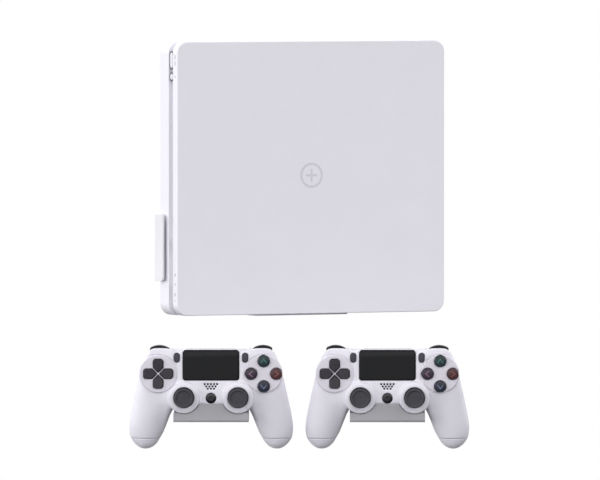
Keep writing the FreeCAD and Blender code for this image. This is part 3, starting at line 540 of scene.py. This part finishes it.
class Shells:
    """The controller's outside, inside and openings as fields on one grid, negative in solid."""

    def __init__(self):
        self.xs = np.arange(-84, 84.01, VOXEL, dtype=np.float32)
        self.ys = np.arange(-54, 55.01, VOXEL, dtype=np.float32)
        self.zs = np.arange(0, 50.01, VOXEL, dtype=np.float32)
        self.X, self.Y = np.meshgrid(self.xs, self.ys, indexing="ij")
        self.Z = self.zs[None, None, :]
        self.rise()

    def rise(self):
        """How thick the body is over its outline: flat in the middle, round and set back in the grips."""
        X, Y = self.X, self.Y
        depth = polygon_distance(X, Y, spline(HALF_OUTLINE))
        self.depth = depth + (blur(depth, 14) - depth) * ease(depth, 2.0, 6.0)
        up = [-54, -41, -29, -18, -7, 6.6, 14, 24, 40, 55]
        centre = np.interp(Y, up, [16.2, 17.0, 18.5, 20.3, 22.6, 26.4, 28.0, 28.5, 28.3, 28.0])
        thick = np.interp(Y, up, [12.6, 13.6, 15.4, 16.4, 16.2, 14.6, 13.9, 13.6, 13.4, 13.2])
        width = np.interp(Y, up, [15, 17, 18.5, 19.2, 18.5, 15, 12, 9.5, 8.5, 8])
        side = ease(np.abs(X), 33, 50)
        self.centre = blur(28.5 + (centre - 28.5) * side, 20)
        self.thick = blur(13.5 + (thick - 13.5) * side, 20)
        self.width = blur(7.0 + (width - 7.0) * side, 20)

    def body(self, grow):
        power = 2.3
        width, thick = self.width + grow * 0.5, self.thick + grow
        across = np.clip(1 - (self.depth + grow) / width, 0, None)
        through = np.abs(self.Z - self.centre[:, :, None]) / thick[:, :, None]
        level = (across[:, :, None] ** power + through ** power) ** (1 / power) - 1
        return level * (np.minimum(width, thick) * 0.9)[:, :, None]

    def disc(self, x, y, radius, low, high, edge=0.1):
        r = np.hypot(self.X - x, self.Y - y)[:, :, None] - radius + edge
        z = np.maximum(self.Z - high, low - self.Z) + edge
        return np.hypot(np.maximum(r, 0), np.maximum(z, 0)) + np.minimum(np.maximum(r, z), 0) - edge

    def prism(self, inside, low, high=90.0):
        """Everything over a flat shape, whose distance is positive inside, between two heights."""
        return np.maximum(-inside[:, :, None], np.maximum(low - self.Z, self.Z - high))

    def oblong(self, x0, x1, y0, y1, corner):
        cx, cy, hx, hy = (x0 + x1) / 2, (y0 + y1) / 2, (x1 - x0) / 2, (y1 - y0) / 2
        qx, qy = np.abs(self.X - cx) - hx + corner, np.abs(self.Y - cy) - hy + corner
        return -(np.hypot(np.maximum(qx, 0), np.maximum(qy, 0)) + np.minimum(np.maximum(qx, qy), 0) - corner)

    def openings(self):
        cuts = [self.prism(self.oblong(-27.25, 27.25, 16.55, 62.0, 2.7), 38.0)]
        for side in (-1, 1):
            cuts.append(self.disc(side * STICK_X, 0, 10.1, 40.0, 90.0))
            cuts.append(self.prism(self.oblong(side * 33 - 2.85, side * 33 + 2.85, 33.85, 43.35, 2.85), 36.0))
            low, high = sorted((side * 39.4, side * 60.6))
            cuts.append(self.prism(self.oblong(low, high, 43.7, 62.0, 0.4), 21.8, 39.9))
            cuts.append(self.prism(self.oblong(low, high, 36.1, 62.0, 0.4), -9.0, 25.5))
        cuts += [self.disc(x, y, 5.9, 33.0, 90.0) for x, y in KEYS.values()]
        cuts.append(self.disc(0, HOME_Y, 5.1, 36.0, 90.0))
        cuts += [self.disc(x, y, 1.0, 36.0, 90.0) for x, y in SPEAKER]
        for quarter in range(4):
            c, s = math.cos(quarter * math.pi / 2), math.sin(quarter * math.pi / 2)
            corners = [(CROSS[0] + x * c - y * s, CROSS[1] + x * s + y * c) for x, y in ARM_HOLE]
            cuts.append(self.prism(polygon_distance(self.X, self.Y, corners), 36.0))
        cuts.append(self.prism(self.oblong(-24.0, 24.0, 44.0, 62.0, 0.8), 17.2, 24.8))
        everything = cuts[0]
        for cut in cuts[1:]:
            everything = np.minimum(everything, cut)
        return everything

    def shoulder(self, side):
        """The squarer end of the body over and in front of a shoulder button."""
        edge = 2.0
        across = edge - self.depth[:, :, None]
        through = np.maximum(self.Z - 41.7, 21.8 - self.Z) + edge
        plate = np.hypot(np.maximum(across, 0), np.maximum(through, 0))
        plate = plate + np.minimum(np.maximum(across, through), 0)
        zone = np.maximum(np.abs(self.X * side - 50.0) - 14.5, 35.0 - self.Y)[:, :, None]
        return soft_max(plate - edge, zone, 3.0)

    def build(self):
        """Front and rear shell meshes."""
        outside, hollow = self.body(0), self.body(-2.2)
        groove = 1e3
        for side in (-1, 1):
            outside = soft_min(outside, self.shoulder(side), 1.6)
            outside = soft_min(outside, self.disc(side * CLUSTER_X, CLUSTER_Y, 18.4, 36.0, 42.6, 0.8), 0.4)
            outside = soft_min(outside, self.disc(side * STICK_X, 0, 15.4, 21.0, 45.1, 1.8), 0.8)
            outside = soft_min(outside, self.disc(side * STICK_X, 0, 12.9, 21.0, 45.5, 0.6), 0.5)
            hollow = np.minimum(hollow, self.disc(side * STICK_X, 0, 13.9, 23.3, 42.5, 0.5))
            ring = np.abs(np.hypot(self.X - side * CLUSTER_X, self.Y - CLUSTER_Y) - 18.5)[:, :, None] - 0.3
            groove = np.minimum(groove, np.maximum(ring, 41.4 - self.Z))
        outside = soft_max(outside, -groove, 0.35)
        wall = np.maximum(outside, -hollow)
        wall = soft_max(wall, -self.openings(), 0.45)
        seam = (self.centre - 1.2)[:, :, None]
        tip = self.Y[:, :, None] + 39.9
        ahead = np.minimum(self.Z - seam, tip)
        return (self.polygons("front_shell", np.maximum(wall, SEAM - ahead)),
                self.polygons("rear_shell", np.maximum(wall, ahead + SEAM)))

    def polygons(self, name, field):
        grid = openvdb.FloatGrid()
        grid.copyFromArray(np.ascontiguousarray(field, dtype=np.float32))
        points, triangles, quads = grid.convertToPolygons(isovalue=0.0, adaptivity=0.03)
        points = points * VOXEL + np.array([self.xs[0], self.ys[0], self.zs[0]])
        faces = [tuple(int(i) for i in side[::-1]) for side in list(triangles) + list(quads)]
        mesh = bpy.data.meshes.new(name)
        mesh.from_pydata([tuple(p * MM) for p in points], [], faces)
        mesh.update()
        for face in mesh.polygons:
            x, y, z = (c / MM for c in face.center)
            face.material_index = int(z > 42.2 and math.hypot(abs(x) - CLUSTER_X, y - CLUSTER_Y) < 18.3)
        mesh.shade_smooth()
        return mesh


# ---------------------------------------------------------------- controller pieces
def key_meshes():
    out = {}
    for name, (x, y) in KEYS.items():
        cap = lathe([(0, 36), (5.6, 36), (5.6, 43.9), (5.45, 44.5), (5.05, 44.88), (4.3, 45.0), (2.0, 45.06),
                     (0, 45.08)], x, y)
        feet = brick((x - 1.5, y - 6.9, 36.0), (x + 1.5, y + 6.9, 37.5))
        out[name] = joined(name + "_key", [cap, feet])
    return out


def chevron(x, y, turn, size=2.8, wide=0.56):
    """A small V mark, standing just proud of a key."""
    v = [(-size, -size * 0.55), (0, size * 0.75), (size, -size * 0.55), (size, -size * 0.55 + wide * 1.6),
         (0, size * 0.75 + wide * 1.7), (-size, -size * 0.55 + wide * 1.6)]
    outline = [(a, b - 0.5) for a, b in v]
    return moved(block(outline, 44.9, 45.2, 0.0, 0.08, steps=2), turn, x, y)


def ring(x, y, outer, inner, low, high, count=56):
    """A flat ring, as a closed loop of four-sided section."""
    points, faces = [], []
    for i in range(count):
        t = 2 * math.pi * i / count
        for r, z in ((outer, low), (outer, high), (inner, high), (inner, low)):
            points.append((x + r * math.cos(t), y + r * math.sin(t), z))
    for i in range(count):
        a, b = 4 * i, 4 * ((i + 1) % count)
        faces += [(a + k, b + k, b + (k + 1) % 4, a + (k + 1) % 4) for k in range(4)]
    return points, faces


def slim_mesh(name, x):
    outline = rectangle((x - 2.6, 34.1), (x + 2.6, 43.1), 2.6, 8)
    foot = brick((x - 3.6, 33.3, 37.0), (x + 3.6, 43.9, 38.2))
    return joined(name, [block(outline, 37.0, 43.2, 0.0, 0.7), foot])


def touchpad_mesh():
    outline = rectangle((-26.85, 16.95), (26.85, 46.2), 2.4, 8)
    extra = [(0.95, 42.7), (1.15, 42.95), (1.4, 43.0)]
    pad = joined("touchpad", [block(outline, 39.0, 42.7, 0.2, 0.5, extra=extra)])
    return shaped(sliced(pad, [39.0 + 0.6 * i for i in range(12)]),
                  lambda x, y, z: (x, y, z - 1.1 * (max(y - 39.0, 0) / 7.2) ** 2 * (z > 41)))


def home_mesh():
    return joined("home_key", [lathe([(0, 36), (5.7, 36), (5.7, 37.5), (4.8, 37.5), (4.8, 41.6), (4.5, 42.05),
                                      (4.0, 42.2), (1.5, 42.1), (0, 42.08)])])


def cross_mesh():
    """Four ridged arms on one disc, with ears for the spider below."""
    parts = [lathe([(0, 36.6), (14.6, 36.6), (14.6, 38.2), (0, 38.2)])]
    arm = rounded([(0, 1.34), (4.6, 5.94), (4.6, 14.0), (-4.6, 14.0), (-4.6, 5.94)],
                  [0.6, 1.6, 2.6, 2.6, 1.6], 6)
    for quarter in range(4):
        solid = block(arm, 38.0, 44.4, 0.0, 0.8)
        points = [(x, y, z + 0.1 * (y - 7.5) * (z > 42)) for x, y, z in solid[0]]
        tick = block(rounded([(-1.5, 10.2), (1.5, 10.2), (0, 12.0)], 0.2, 2), 44.5, 44.86, 0, 0.1, steps=2)
        parts += [moved((points, solid[1]), quarter * math.pi / 2), moved(tick, quarter * math.pi / 2)]
    for low, high in ((-4.4, -2.8), (2.8, 4.4)):
        parts.append(brick((-2.2, low, 35.0), (2.2, high, 36.7)))
    return joined("direction_pad", [moved(p, 0, *CROSS) for p in parts])


def stick_meshes():
    """Rubber cap with a dished top and a ridged rim, and the plastic dome that it stands on."""
    def ridges(radius, z, angle):
        return 0.11 * math.cos(72 * angle) if radius > 9.3 and 53.5 < z < 56.4 else 0.0
    cap = lathe([(0, 50.0), (3.8, 50.0), (4.3, 50.7), (5.6, 51.15), (8.2, 51.5), (9.1, 52.3), (9.5, 53.2),
                 (9.5, 53.6), (9.5, 54.4), (9.5, 55.4), (9.5, 56.3), (9.5, 56.7), (9.2, 57.25), (8.7, 57.5),
                 (7.7, 57.5), (7.25, 57.3), (6.9, 56.75), (6.45, 56.35)], count=288, knurl=ridges)
    dish = lathe([(0, 55.2), (6.5, 55.2), (6.5, 56.3), (6.1, 56.22), (5.0, 55.98), (3.4, 55.8), (1.6, 55.7),
                  (0, 55.68)])
    outer, inner = [], []
    for k in range(13):
        t = math.radians(24 + 66 * k / 12)
        outer.append((13.3 * math.cos(t), 33 + 13.3 * math.sin(t)))
        inner.append((12.1 * math.cos(t), 33 + 12.1 * math.sin(t)))
    profile = inner[::-1] + outer
    dome = lathe([(r, z) for r, z in profile if r > 0.3 or z < 60])
    neck = lathe([(0, 45.9), (3.8, 45.6), (3.8, 50.4), (0, 50.4)])
    blade = brick((-1.7, -0.9, 33.0), (1.7, 0.9, 45.4))
    pivot = swap(lathe([(0, -0.9), (2.2, -0.9), (2.2, 0.9), (0, 0.9)]), (0, 2, 1), True)
    pivot = ([(x, y, z + 33) for x, y, z in pivot[0]], pivot[1])
    return (joined("stick_cap", [cap]), joined("stick_dish", [dish]),
            joined("stick_dome", [dome, neck, blade, pivot]))


def bumper_mesh(side):
    """A shoulder button whose top follows an arc across the controller."""
    points, faces = block(rectangle((40.0, 22.3), (59.0, 39.5), 1.6, 6), 45.3, 50.35, 0.3, 1.3, steps=5)
    mesh = joined("bumper", [([(side * x, y, z) for x, z, y in points], faces)])
    sliced(mesh, [side * (40.8 + 0.9 * i) for i in range(20)], 0)
    return shaped(mesh, lambda x, y, z: (
        x, y - (17 - math.sqrt(289 - (abs(x) - 50) ** 2)) * (y - 45.3) / 5.05, z))


def trigger_mesh(side):
    """A curved trigger, from a smooth profile drawn across it, round its own pin."""
    corners = [(46.9, 21.3), (47.2, 14), (45.6, 7), (42.8, 4.6), (41.4, 6.8), (43.3, 14), (42.4, 18.2),
               (39.0, 19.6), (36.6, 22.0), (39.0, 24.4), (43.2, 21.3)]
    if sum(a[0] * b[1] - b[0] * a[1] for a, b in zip(corners, corners[1:] + corners[:1])) < 0:
        corners = corners[::-1]
    mesh = joined("trigger", [swap_side(block(rounded(corners, 1.6, 5), 40.3, 59.0, 0.7, 0.8), side)])
    sliced(mesh, [side * (51.5 + i) for i in range(7)], 0)
    return shaped(mesh, lambda x, y, z: (
        x, y - 0.05 * max(abs(x) - 51.5, 0) ** 2 * min(max((y - 38) / 6, 0), 1), z))


def swap_side(shell, side):
    """A shell drawn in (y, z) with its height as x, put on the left (-1) or right (1)."""
    points, faces = shell
    return [(side * p[2], p[0], p[1]) for p in points], faces


def bracket_mesh():
    """One sheet folded twice into a channel, its front lip cut round the stick collars."""
    strip = rounded([(-23.6, 0.0), (30.0, 0.0), (30.0, 1.6), (-22.0, 1.6), (-22.0, 42.4), (-5.8, 42.4),
                     (-5.8, 44.0), (-23.6, 44.0)], [2.2, 0.3, 0.3, 0.7, 0.7, 0.3, 0.3, 2.2], 5)
    sheet = joined("bracket", [swap_side(block(strip, -36.3, 36.3, 0.15, 0.15, steps=2), 1)])
    tools = [lathe([(0, 41), (15.9, 41), (15.9, 46), (0, 46)], side * STICK_X, 0, 96) for side in (-1, 1)]
    tools += [brick((STICK_X, -14.6, 38), (40, 2, 50)), brick((-40, -14.6, 38), (-STICK_X, 2, 50))]
    tools += [lathe([(0, -1), (2.6, -1), (2.6, 3), (0, 3)], side * 24, 8, 40) for side in (-1, 1)]
    return eased(carved(sheet, tools), 0.3)


def inside_meshes():
    """Board, stick housings and key domes, battery, motors and light guide."""
    board = [brick((-58, -7.2, 27.3), (58, 35.6, 28.8))]
    housings = []
    for side in (-1, 1):
        x = side * STICK_X
        for low, high in (((x - 7.5, -7.5), (x - 6.3, 7.5)), ((x + 6.3, -7.5), (x + 7.5, 7.5)),
                          ((x - 6.3, -7.5), (x + 6.3, -6.3)), ((x - 6.3, 6.3), (x + 6.3, 7.5))):
            housings.append(brick((*low, 28.8), (*high, 36.2)))
    housings += [lathe([(0, 28.8), (3.6, 28.8), (3.0, 33.6), (2.4, 34.0), (0, 34.0)], x, y)
                 for x, y in KEYS.values()]
    battery = block(rectangle((-26, 10), (26, 42), 2.0), 17.6, 25.6, 0.8, 0.8)
    motors = [lathe([(0, 12), (8.6, 12), (9, 12.4), (9, 25.6), (8.6, 26), (3.2, 26), (3.0, 26.4), (0, 26.4)],
                    side * 60, -15) for side in (-1, 1)]
    guide = block(rectangle((-23.9, 42.4), (23.9, 46.45), 0.4), 17.3, 24.7, 0.4, 0.4)
    grille = [block(rectangle((-8.2, 7.2), (8.2, 14.6), 1.2), 38.6, 39.4, 0.2, 0.2)]
    grille += [lathe([(0, 39.3), (0.9, 39.3), (0.9, 41.4), (0, 41.4)], x, y, 16) for x, y in SPEAKER]
    return {"board": (joined("board", board), BOARD), "housings": (joined("housings", housings), INNER_DARK),
            "battery": (joined("battery", [battery]), BATTERY), "motors": (joined("motors", motors), STEEL),
            "light_guide": (joined("light_guide", [guide]), GUIDE),
            "speaker_cloth": (joined("speaker_cloth", grille), GRILLE)}


def controllers():
    """Both controllers, each from the same meshes, with their brackets."""
    front, rear = Shells().build()
    keys = key_meshes()
    turns = {"top": 0.0, "left": math.pi / 2, "right": -math.pi / 2, "bottom": math.pi}
    marks = {k: joined(k + "_mark", [chevron(*KEYS[k], turns[k])]) for k in KEYS}
    slims = {"share": slim_mesh("share_key", -33), "options": slim_mesh("options_key", 33)}
    pad, home, cross, bracket = touchpad_mesh(), home_mesh(), cross_mesh(), bracket_mesh()
    home_mark = joined("home_mark", [ring(0, HOME_Y, 2.5, 1.9, 41.95, 42.28),
                                     ring(0, HOME_Y, 0.8, 0.2, 41.9, 42.22)])
    cap, dish, dome = stick_meshes()
    shoulder = {(part, side): maker(1 if side == "right" else -1)
                for part, maker in (("bumper", bumper_mesh), ("trigger", trigger_mesh))
                for side in ("left", "right")}
    finish = {"bumper": ("dark_gloss", PAD_BLACK), "trigger": ("dark_button", BUTTON_DARK)}
    inside = inside_meshes()
    for p, m in PLAYERS.items():
        for half, mesh in (("front", front), ("rear", rear)):
            piece("%s_%s" % (p, half), mesh, m, p, "white_shell", SHELL_WHITE, DISC_WHITE,
                  replaces=["%s_%s_shell" % (p, half)])
        for k, mesh in keys.items():
            name = "%s_%s_key" % (p, k)
            piece(name + "_cap", mesh, m, name, "dark_button", KEY_TINTS[k], replaces=[name])
            piece(name + "_mark", marks[k], m, name, "dark_button", MARKS[k])
        for k, mesh in slims.items():
            name = "%s_%s_key" % (p, k)
            piece(name + "_cap", mesh, m, name, "grey_button", BUTTON_GREY, replaces=[name])
        piece(p + "_pad", pad, m, p + "_touchpad", "dark_gloss", PAD_BLACK, replaces=[p + "_touchpad"])
        at = m @ Matrix.Translation((0, HOME_Y * MM, 0))
        piece(p + "_home_cap", home, at, p + "_home_key", "dark_gloss", GLOSS_BLACK,
              replaces=[p + "_home_key"])
        piece(p + "_home_mark", home_mark, m, p + "_home_key", "dark_button", DOME_DARK)
        piece(p + "_cross", cross, m, p + "_direction_pad", "dark_button", BUTTON_DARK,
              replaces=[p + "_direction_pad"])
        for side, x in (("left", -STICK_X), ("right", STICK_X)):
            at = m @ Matrix.Translation((x * MM, 0, 0))
            body = "%s_%s_stick" % (p, side)
            piece(body + "_dome", dome, at, body, "dark_soft", DOME_DARK, replaces=[body])
            piece(body + "_cap", cap, at, body, "dark_soft", STICK_RUBBER)
            piece(body + "_dish", dish, at, body, "dark_soft", DISH_RUBBER)
            for part in ("bumper", "trigger"):
                body = "%s_%s_%s" % (p, side, part)
                slot, material = finish[part]
                piece(body + "_cap", shoulder[part, side], m, body, slot, material, replaces=[body])
        for k, (mesh, material) in inside.items():
            piece("%s_%s" % (p, k), mesh, m, p, "board" if k == "board" else "inner_plastic", material,
                  replaces=[p + "_electronics"] if k == "board" else ())
        piece(p + "_holder", bracket, m, "brackets", "grey_steel", STEEL_GREY, replaces=[p + "_bracket"])


# ---------------------------------------------------------------- console
HALF_WIDE, HALF_HIGH, CORNER = 144, 132.5, 11


def slab(profile):
    """Sweeps (inset, height) pairs round the console's outline and caps both ends."""
    rings = []
    for drawn_in, z in profile:
        x, y, r = HALF_WIDE - drawn_in, HALF_HIGH - drawn_in, max(CORNER - drawn_in, 2.0)
        rings.append([(px, py, z) for px, py in rectangle((-x, -y), (x, y), r, 14)])
    return stack(rings)


def arc(centre_in, centre_z, radius, start, end, steps=5):
    return [(centre_in + radius * math.cos(math.radians(start + (end - start) * k / steps)),
             centre_z + radius * math.sin(math.radians(start + (end - start) * k / steps)))
            for k in range(steps + 1)]


def console():
    """Cover, mark, buttons with dark rings of painted shadow round them, port marks and bracket; the rest of
    the console is kept from the CAD.
    """
    cover = slab([(2.5, 40.0), (2.5, 33.5), (8.0, 33.5), (8.0, 31.5)] + arc(0.7, 32.2, 0.7, -90, -180)
                 + arc(0.9, 41.1, 0.9, 180, 90))
    piece("console_cover", joined("console_cover", [cover]), CONSOLE, "console", "white_case", CASE_WHITE,
          replaces=["console_top_cover"])
    plus = [(-1.1, -6.2), (1.1, -6.2), (1.1, -1.1), (6.2, -1.1), (6.2, 1.1), (1.1, 1.1), (1.1, 6.2),
            (-1.1, 6.2), (-1.1, 1.1), (-6.2, 1.1), (-6.2, -1.1), (-1.1, -1.1)]
    mark = [ring(0, 2, 12.2, 9.9, 41.9, 42.06, 96), moved(block(plus, 41.9, 42.06), 0.0, 0, 2)]
    piece("console_mark", joined("console_mark", mark), CONSOLE, "console", "white_band", MARK_GREY)
    buttons = {"power_button": rectangle((107.0, 24.05), (122.0, 29.95), 2.9, 8),
               "eject_button": circle(98.5, 27.0, 3.0)}
    for name, outline in buttons.items():
        piece(name + "_cap", joined(name, [leftwards(block(outline, 136.0, 143.4, 0.0, 0.5))]), CONSOLE, name,
              "white_button", BAND_WHITE, replaces=[name])
        # A dark grey ring in the gap round each button cap: painted shadow where the gap between the cap and
        # the band is in shade.
        painted_gap_shade = [leftwards(tube(inset(outline, -1.35), inset(outline, -0.3), 139.5, 143.3))]
        piece(name + "_surround", joined(name + "_surround", painted_gap_shade), CONSOLE, "console", "dark_button",
              GAP_SHADE_AND_PIP_GREY)
    pips = [leftwards(block(rectangle((y - h, 36.4), (y + h, 37.4), 0.4, 3), 143.9, 144.04))
            for y, h in ((117.5, 2.2), (111.5, 2.2), (98.5, 1.0), (-93, 1.6), (-102, 1.0), (-112, 1.6),
                         (-118, 0.6))]
    piece("console_pips", joined("console_pips", pips), CONSOLE, "console", "white_band", GAP_SHADE_AND_PIP_GREY)
    piece("console_holder", console_bracket(), CONSOLE, "brackets", "white_steel", STEEL_WHITE,
          replaces=["console_bracket"])


def leftwards(shell):
    """A shell drawn in (y, z) with its height as the distance out to the left."""
    points, faces = shell
    return [(-p[2], p[0], p[1]) for p in points], faces


def tube(outer, inner, low, high):
    """A wall between two outlines of the same count of points."""
    count = len(outer)
    points = [(x, y, z) for z in (low, high) for outline in (outer, inner) for x, y in outline]
    faces = []
    for i in range(count):
        j = (i + 1) % count
        quad = [i, j, count + j, count + i]
        faces += [quad[::-1], [q + 2 * count for q in quad]]
        faces += [[i, i + 2 * count, j + 2 * count, j],
                  [count + j, 3 * count + j, 3 * count + i, count + i]]
    return points, faces


def console_bracket():
    """Back plate, two side lips and the shelf below. The folds stand 0.02 mm proud, so no faces coincide."""
    plate = [(-148.5, -99.6), (-50, -99.6), (-50, -134.55), (50, -134.55), (50, -99.6), (148.5, -99.6),
             (148.5, -35), (50, -35), (50, 60), (-50, 60), (-50, -35), (-148.5, -35)]
    solid = joined("bracket", [block(rounded(plate, [1, 3, 1, 1, 3, 1, 1, 3, 3, 3, 3, 1], 4), 0.0, 2.0)])
    solid = carved(solid, [lathe([(0, -1), (2.6, -1), (2.6, 3), (0, 3)], x, y, 40)
                           for x in (-38, 38) for y in (-45, 45)])
    holder = eased(solid, 0.3)
    for side in (-1, 1):
        low, high = sorted((side * 146.5, side * 148.52))
        lip = rounded([(-99.62, 0.5), (-34.98, 0.5), (-34.98, 18.0), (-99.62, 18.0)], [0.4, 0.4, 4.0, 4.0], 6)
        holder = merged(holder, joined("lip", [swap_side(block(lip, low, high, 0.3, 0.3, steps=3), 1)]))
    shelf = rounded([(50.02, 0.5), (50.02, 20.0), (-50.02, 20.0), (-50.02, 0.5)], [0.4, 2.5, 2.5, 0.4], 6)
    part = block(shelf, -134.57, -132.55, 0.3, 0.3, steps=3)
    return merged(holder, joined("shelf", [swap(part, (0, 2, 1), True)]))


def merged(one, two):
    """Both meshes as one."""
    work = bmesh.new()
    work.from_mesh(one)
    work.from_mesh(two)
    mesh = bpy.data.meshes.new(one.name)
    work.to_mesh(mesh)
    work.free()
    return softened(mesh)


KEPT = {
    "console_bottom_case": (CASE_WHITE, 0.7), "console_center_frame": (BAND_WHITE, 0.3),
    "cooling_fan": (INNER_DARK, 0.15), "heat_sink": (ALUMINIUM, 0.15), "main_board": (BOARD, 0.1),
    "disc_drive": (ALUMINIUM, 0.5), "power_supply": (INNER_DARK, 0.5), "hard_drive": (ALUMINIUM, 0.4),
    "hard_drive_cover": (CASE_WHITE, 0.3), "console_connectors": (STEEL, 0.12), "case_screws": (STEEL, 0.1),
    "console_feet": (FOOT_RUBBER, 0.25),
}


def kept_nodes():
    """CAD nodes that stay: their own material, and the small edge radii that moulding gives."""
    chosen = dict(KEPT)
    for p in PLAYERS:
        for name in ("direction_pad_pivot", "left_stick_rocker", "right_stick_rocker"):
            chosen["%s_%s" % (p, name)] = (INNER_DARK, 0.12)
    for name, (material, width) in chosen.items():
        node = frame["nodes"][name]
        node.data.materials.clear()
        node.data.materials.append(material)
        weld = node.modifiers.new("weld", "WELD")
        weld.merge_threshold = 1e-6
        ease_edges = node.modifiers.new("edges", "BEVEL")
        ease_edges.width = width * MM
        ease_edges.segments = 2
        ease_edges.limit_method = "ANGLE"
        ease_edges.angle_limit = math.radians(40)
        ease_edges.use_clamp_overlap = True


# ---------------------------------------------------------------- stage
SKY_LOW, SKY_HIGH, ZENITH = 0.15, 2.56, 0.3


def area(name, energy, size, place, aim, colour=(1, 1, 1)):
    light = bpy.data.lights.new(name, "AREA")
    light.energy, light.size, light.color = energy, size, colour
    thing = bpy.data.objects.new(name, light)
    bpy.context.scene.collection.objects.link(thing)
    thing.location = place
    thing.rotation_euler = (Vector(place) - Vector(aim)).to_track_quat("Z", "Y").to_euler()


def stage():
    """A pale floor far below, a soft sky that is brightest halfway up on the left, and two side boxes."""
    outline = [(x * 1000, y * 1000, -900.0) for x, y in circle(0, 0, 1.1, 96)]
    floor = bpy.data.objects.new("floor", as_mesh("floor", outline, [tuple(range(96))]))
    bpy.context.scene.collection.objects.link(floor)
    floor.data.materials.append(coated("pale_floor", linear(226, 226, 229), 0.7))
    floor.visible_diffuse = False
    world = bpy.data.worlds.new("studio")
    bpy.context.scene.world = world
    world.use_nodes = True
    nodes, links = world.node_tree.nodes, world.node_tree.links
    seen, lit = nodes["Background"], nodes.new("ShaderNodeBackground")
    seen.inputs["Color"].default_value = (1, 1, 1, 1)
    seen.inputs["Strength"].default_value = 1.0
    lit.inputs["Color"].default_value = (0.985, 0.98, 1.0, 1)
    direction, slope = nodes.new("ShaderNodeTexCoord"), nodes.new("ShaderNodeVectorMath")
    slope.operation = "DOT_PRODUCT"
    slope.inputs[1].default_value = (-0.28, 0.0, 0.96)
    steps = []
    for limits in ((-0.1, 0.35, SKY_LOW, SKY_HIGH), (0.35, 0.8, 1.0, ZENITH)):
        step = nodes.new("ShaderNodeMapRange")
        step.interpolation_type = "SMOOTHSTEP"
        for key, value in zip(("From Min", "From Max", "To Min", "To Max"), limits):
            step.inputs[key].default_value = value
        links.new(slope.outputs["Value"], step.inputs["Value"])
        steps.append(step)
    height = nodes.new("ShaderNodeMath")
    height.operation = "MULTIPLY"
    for i, step in enumerate(steps):
        links.new(step.outputs["Result"], height.inputs[i])
    links.new(direction.outputs["Generated"], slope.inputs[0])
    links.new(height.outputs["Value"], lit.inputs["Strength"])
    path, mix = nodes.new("ShaderNodeLightPath"), nodes.new("ShaderNodeMixShader")
    links.new(path.outputs["Is Camera Ray"], mix.inputs["Fac"])
    links.new(lit.outputs["Background"], mix.inputs[1])
    links.new(seen.outputs["Background"], mix.inputs[2])
    links.new(mix.outputs["Shader"], nodes["World Output"].inputs["Surface"])
    area("left_box", 6.5, 0.9, (-2.2, 0.1, 0.35), (0, 0, -0.1))
    area("right_box", 6.0, 0.8, (2.2, 0.3, 0.2), (0, 0, -0.1))
    bpy.context.scene.view_settings.view_transform = "Standard"


AZIMUTH, ELEVATION, DISTANCE, VIEW_WIDTH = -25.7, 1.82, 10.5, 0.5851
AIM_ASIDE, AIM_HEIGHT = 0.00694, -0.0621


def camera():
    """A distant camera, level with the set, at the angle from which both halves look right."""
    azimuth, elevation = math.radians(AZIMUTH), math.radians(ELEVATION)
    back = Vector((math.sin(azimuth) * math.cos(elevation), -math.cos(azimuth) * math.cos(elevation),
                   math.sin(elevation)))
    aim = Vector((AIM_ASIDE * math.cos(azimuth), AIM_ASIDE * math.sin(azimuth), AIM_HEIGHT))
    lens = bpy.data.cameras.new("camera")
    lens.sensor_width = 36.0
    lens.lens = lens.sensor_width * DISTANCE / VIEW_WIDTH
    lens.clip_end = 100.0
    thing = bpy.data.objects.new("camera", lens)
    bpy.context.scene.collection.objects.link(thing)
    thing.location = aim + back * DISTANCE
    thing.rotation_euler = back.to_track_quat("Z", "Y").to_euler()
    bpy.context.scene.camera = thing


camera()
stage()
controllers()
console()
kept_nodes()
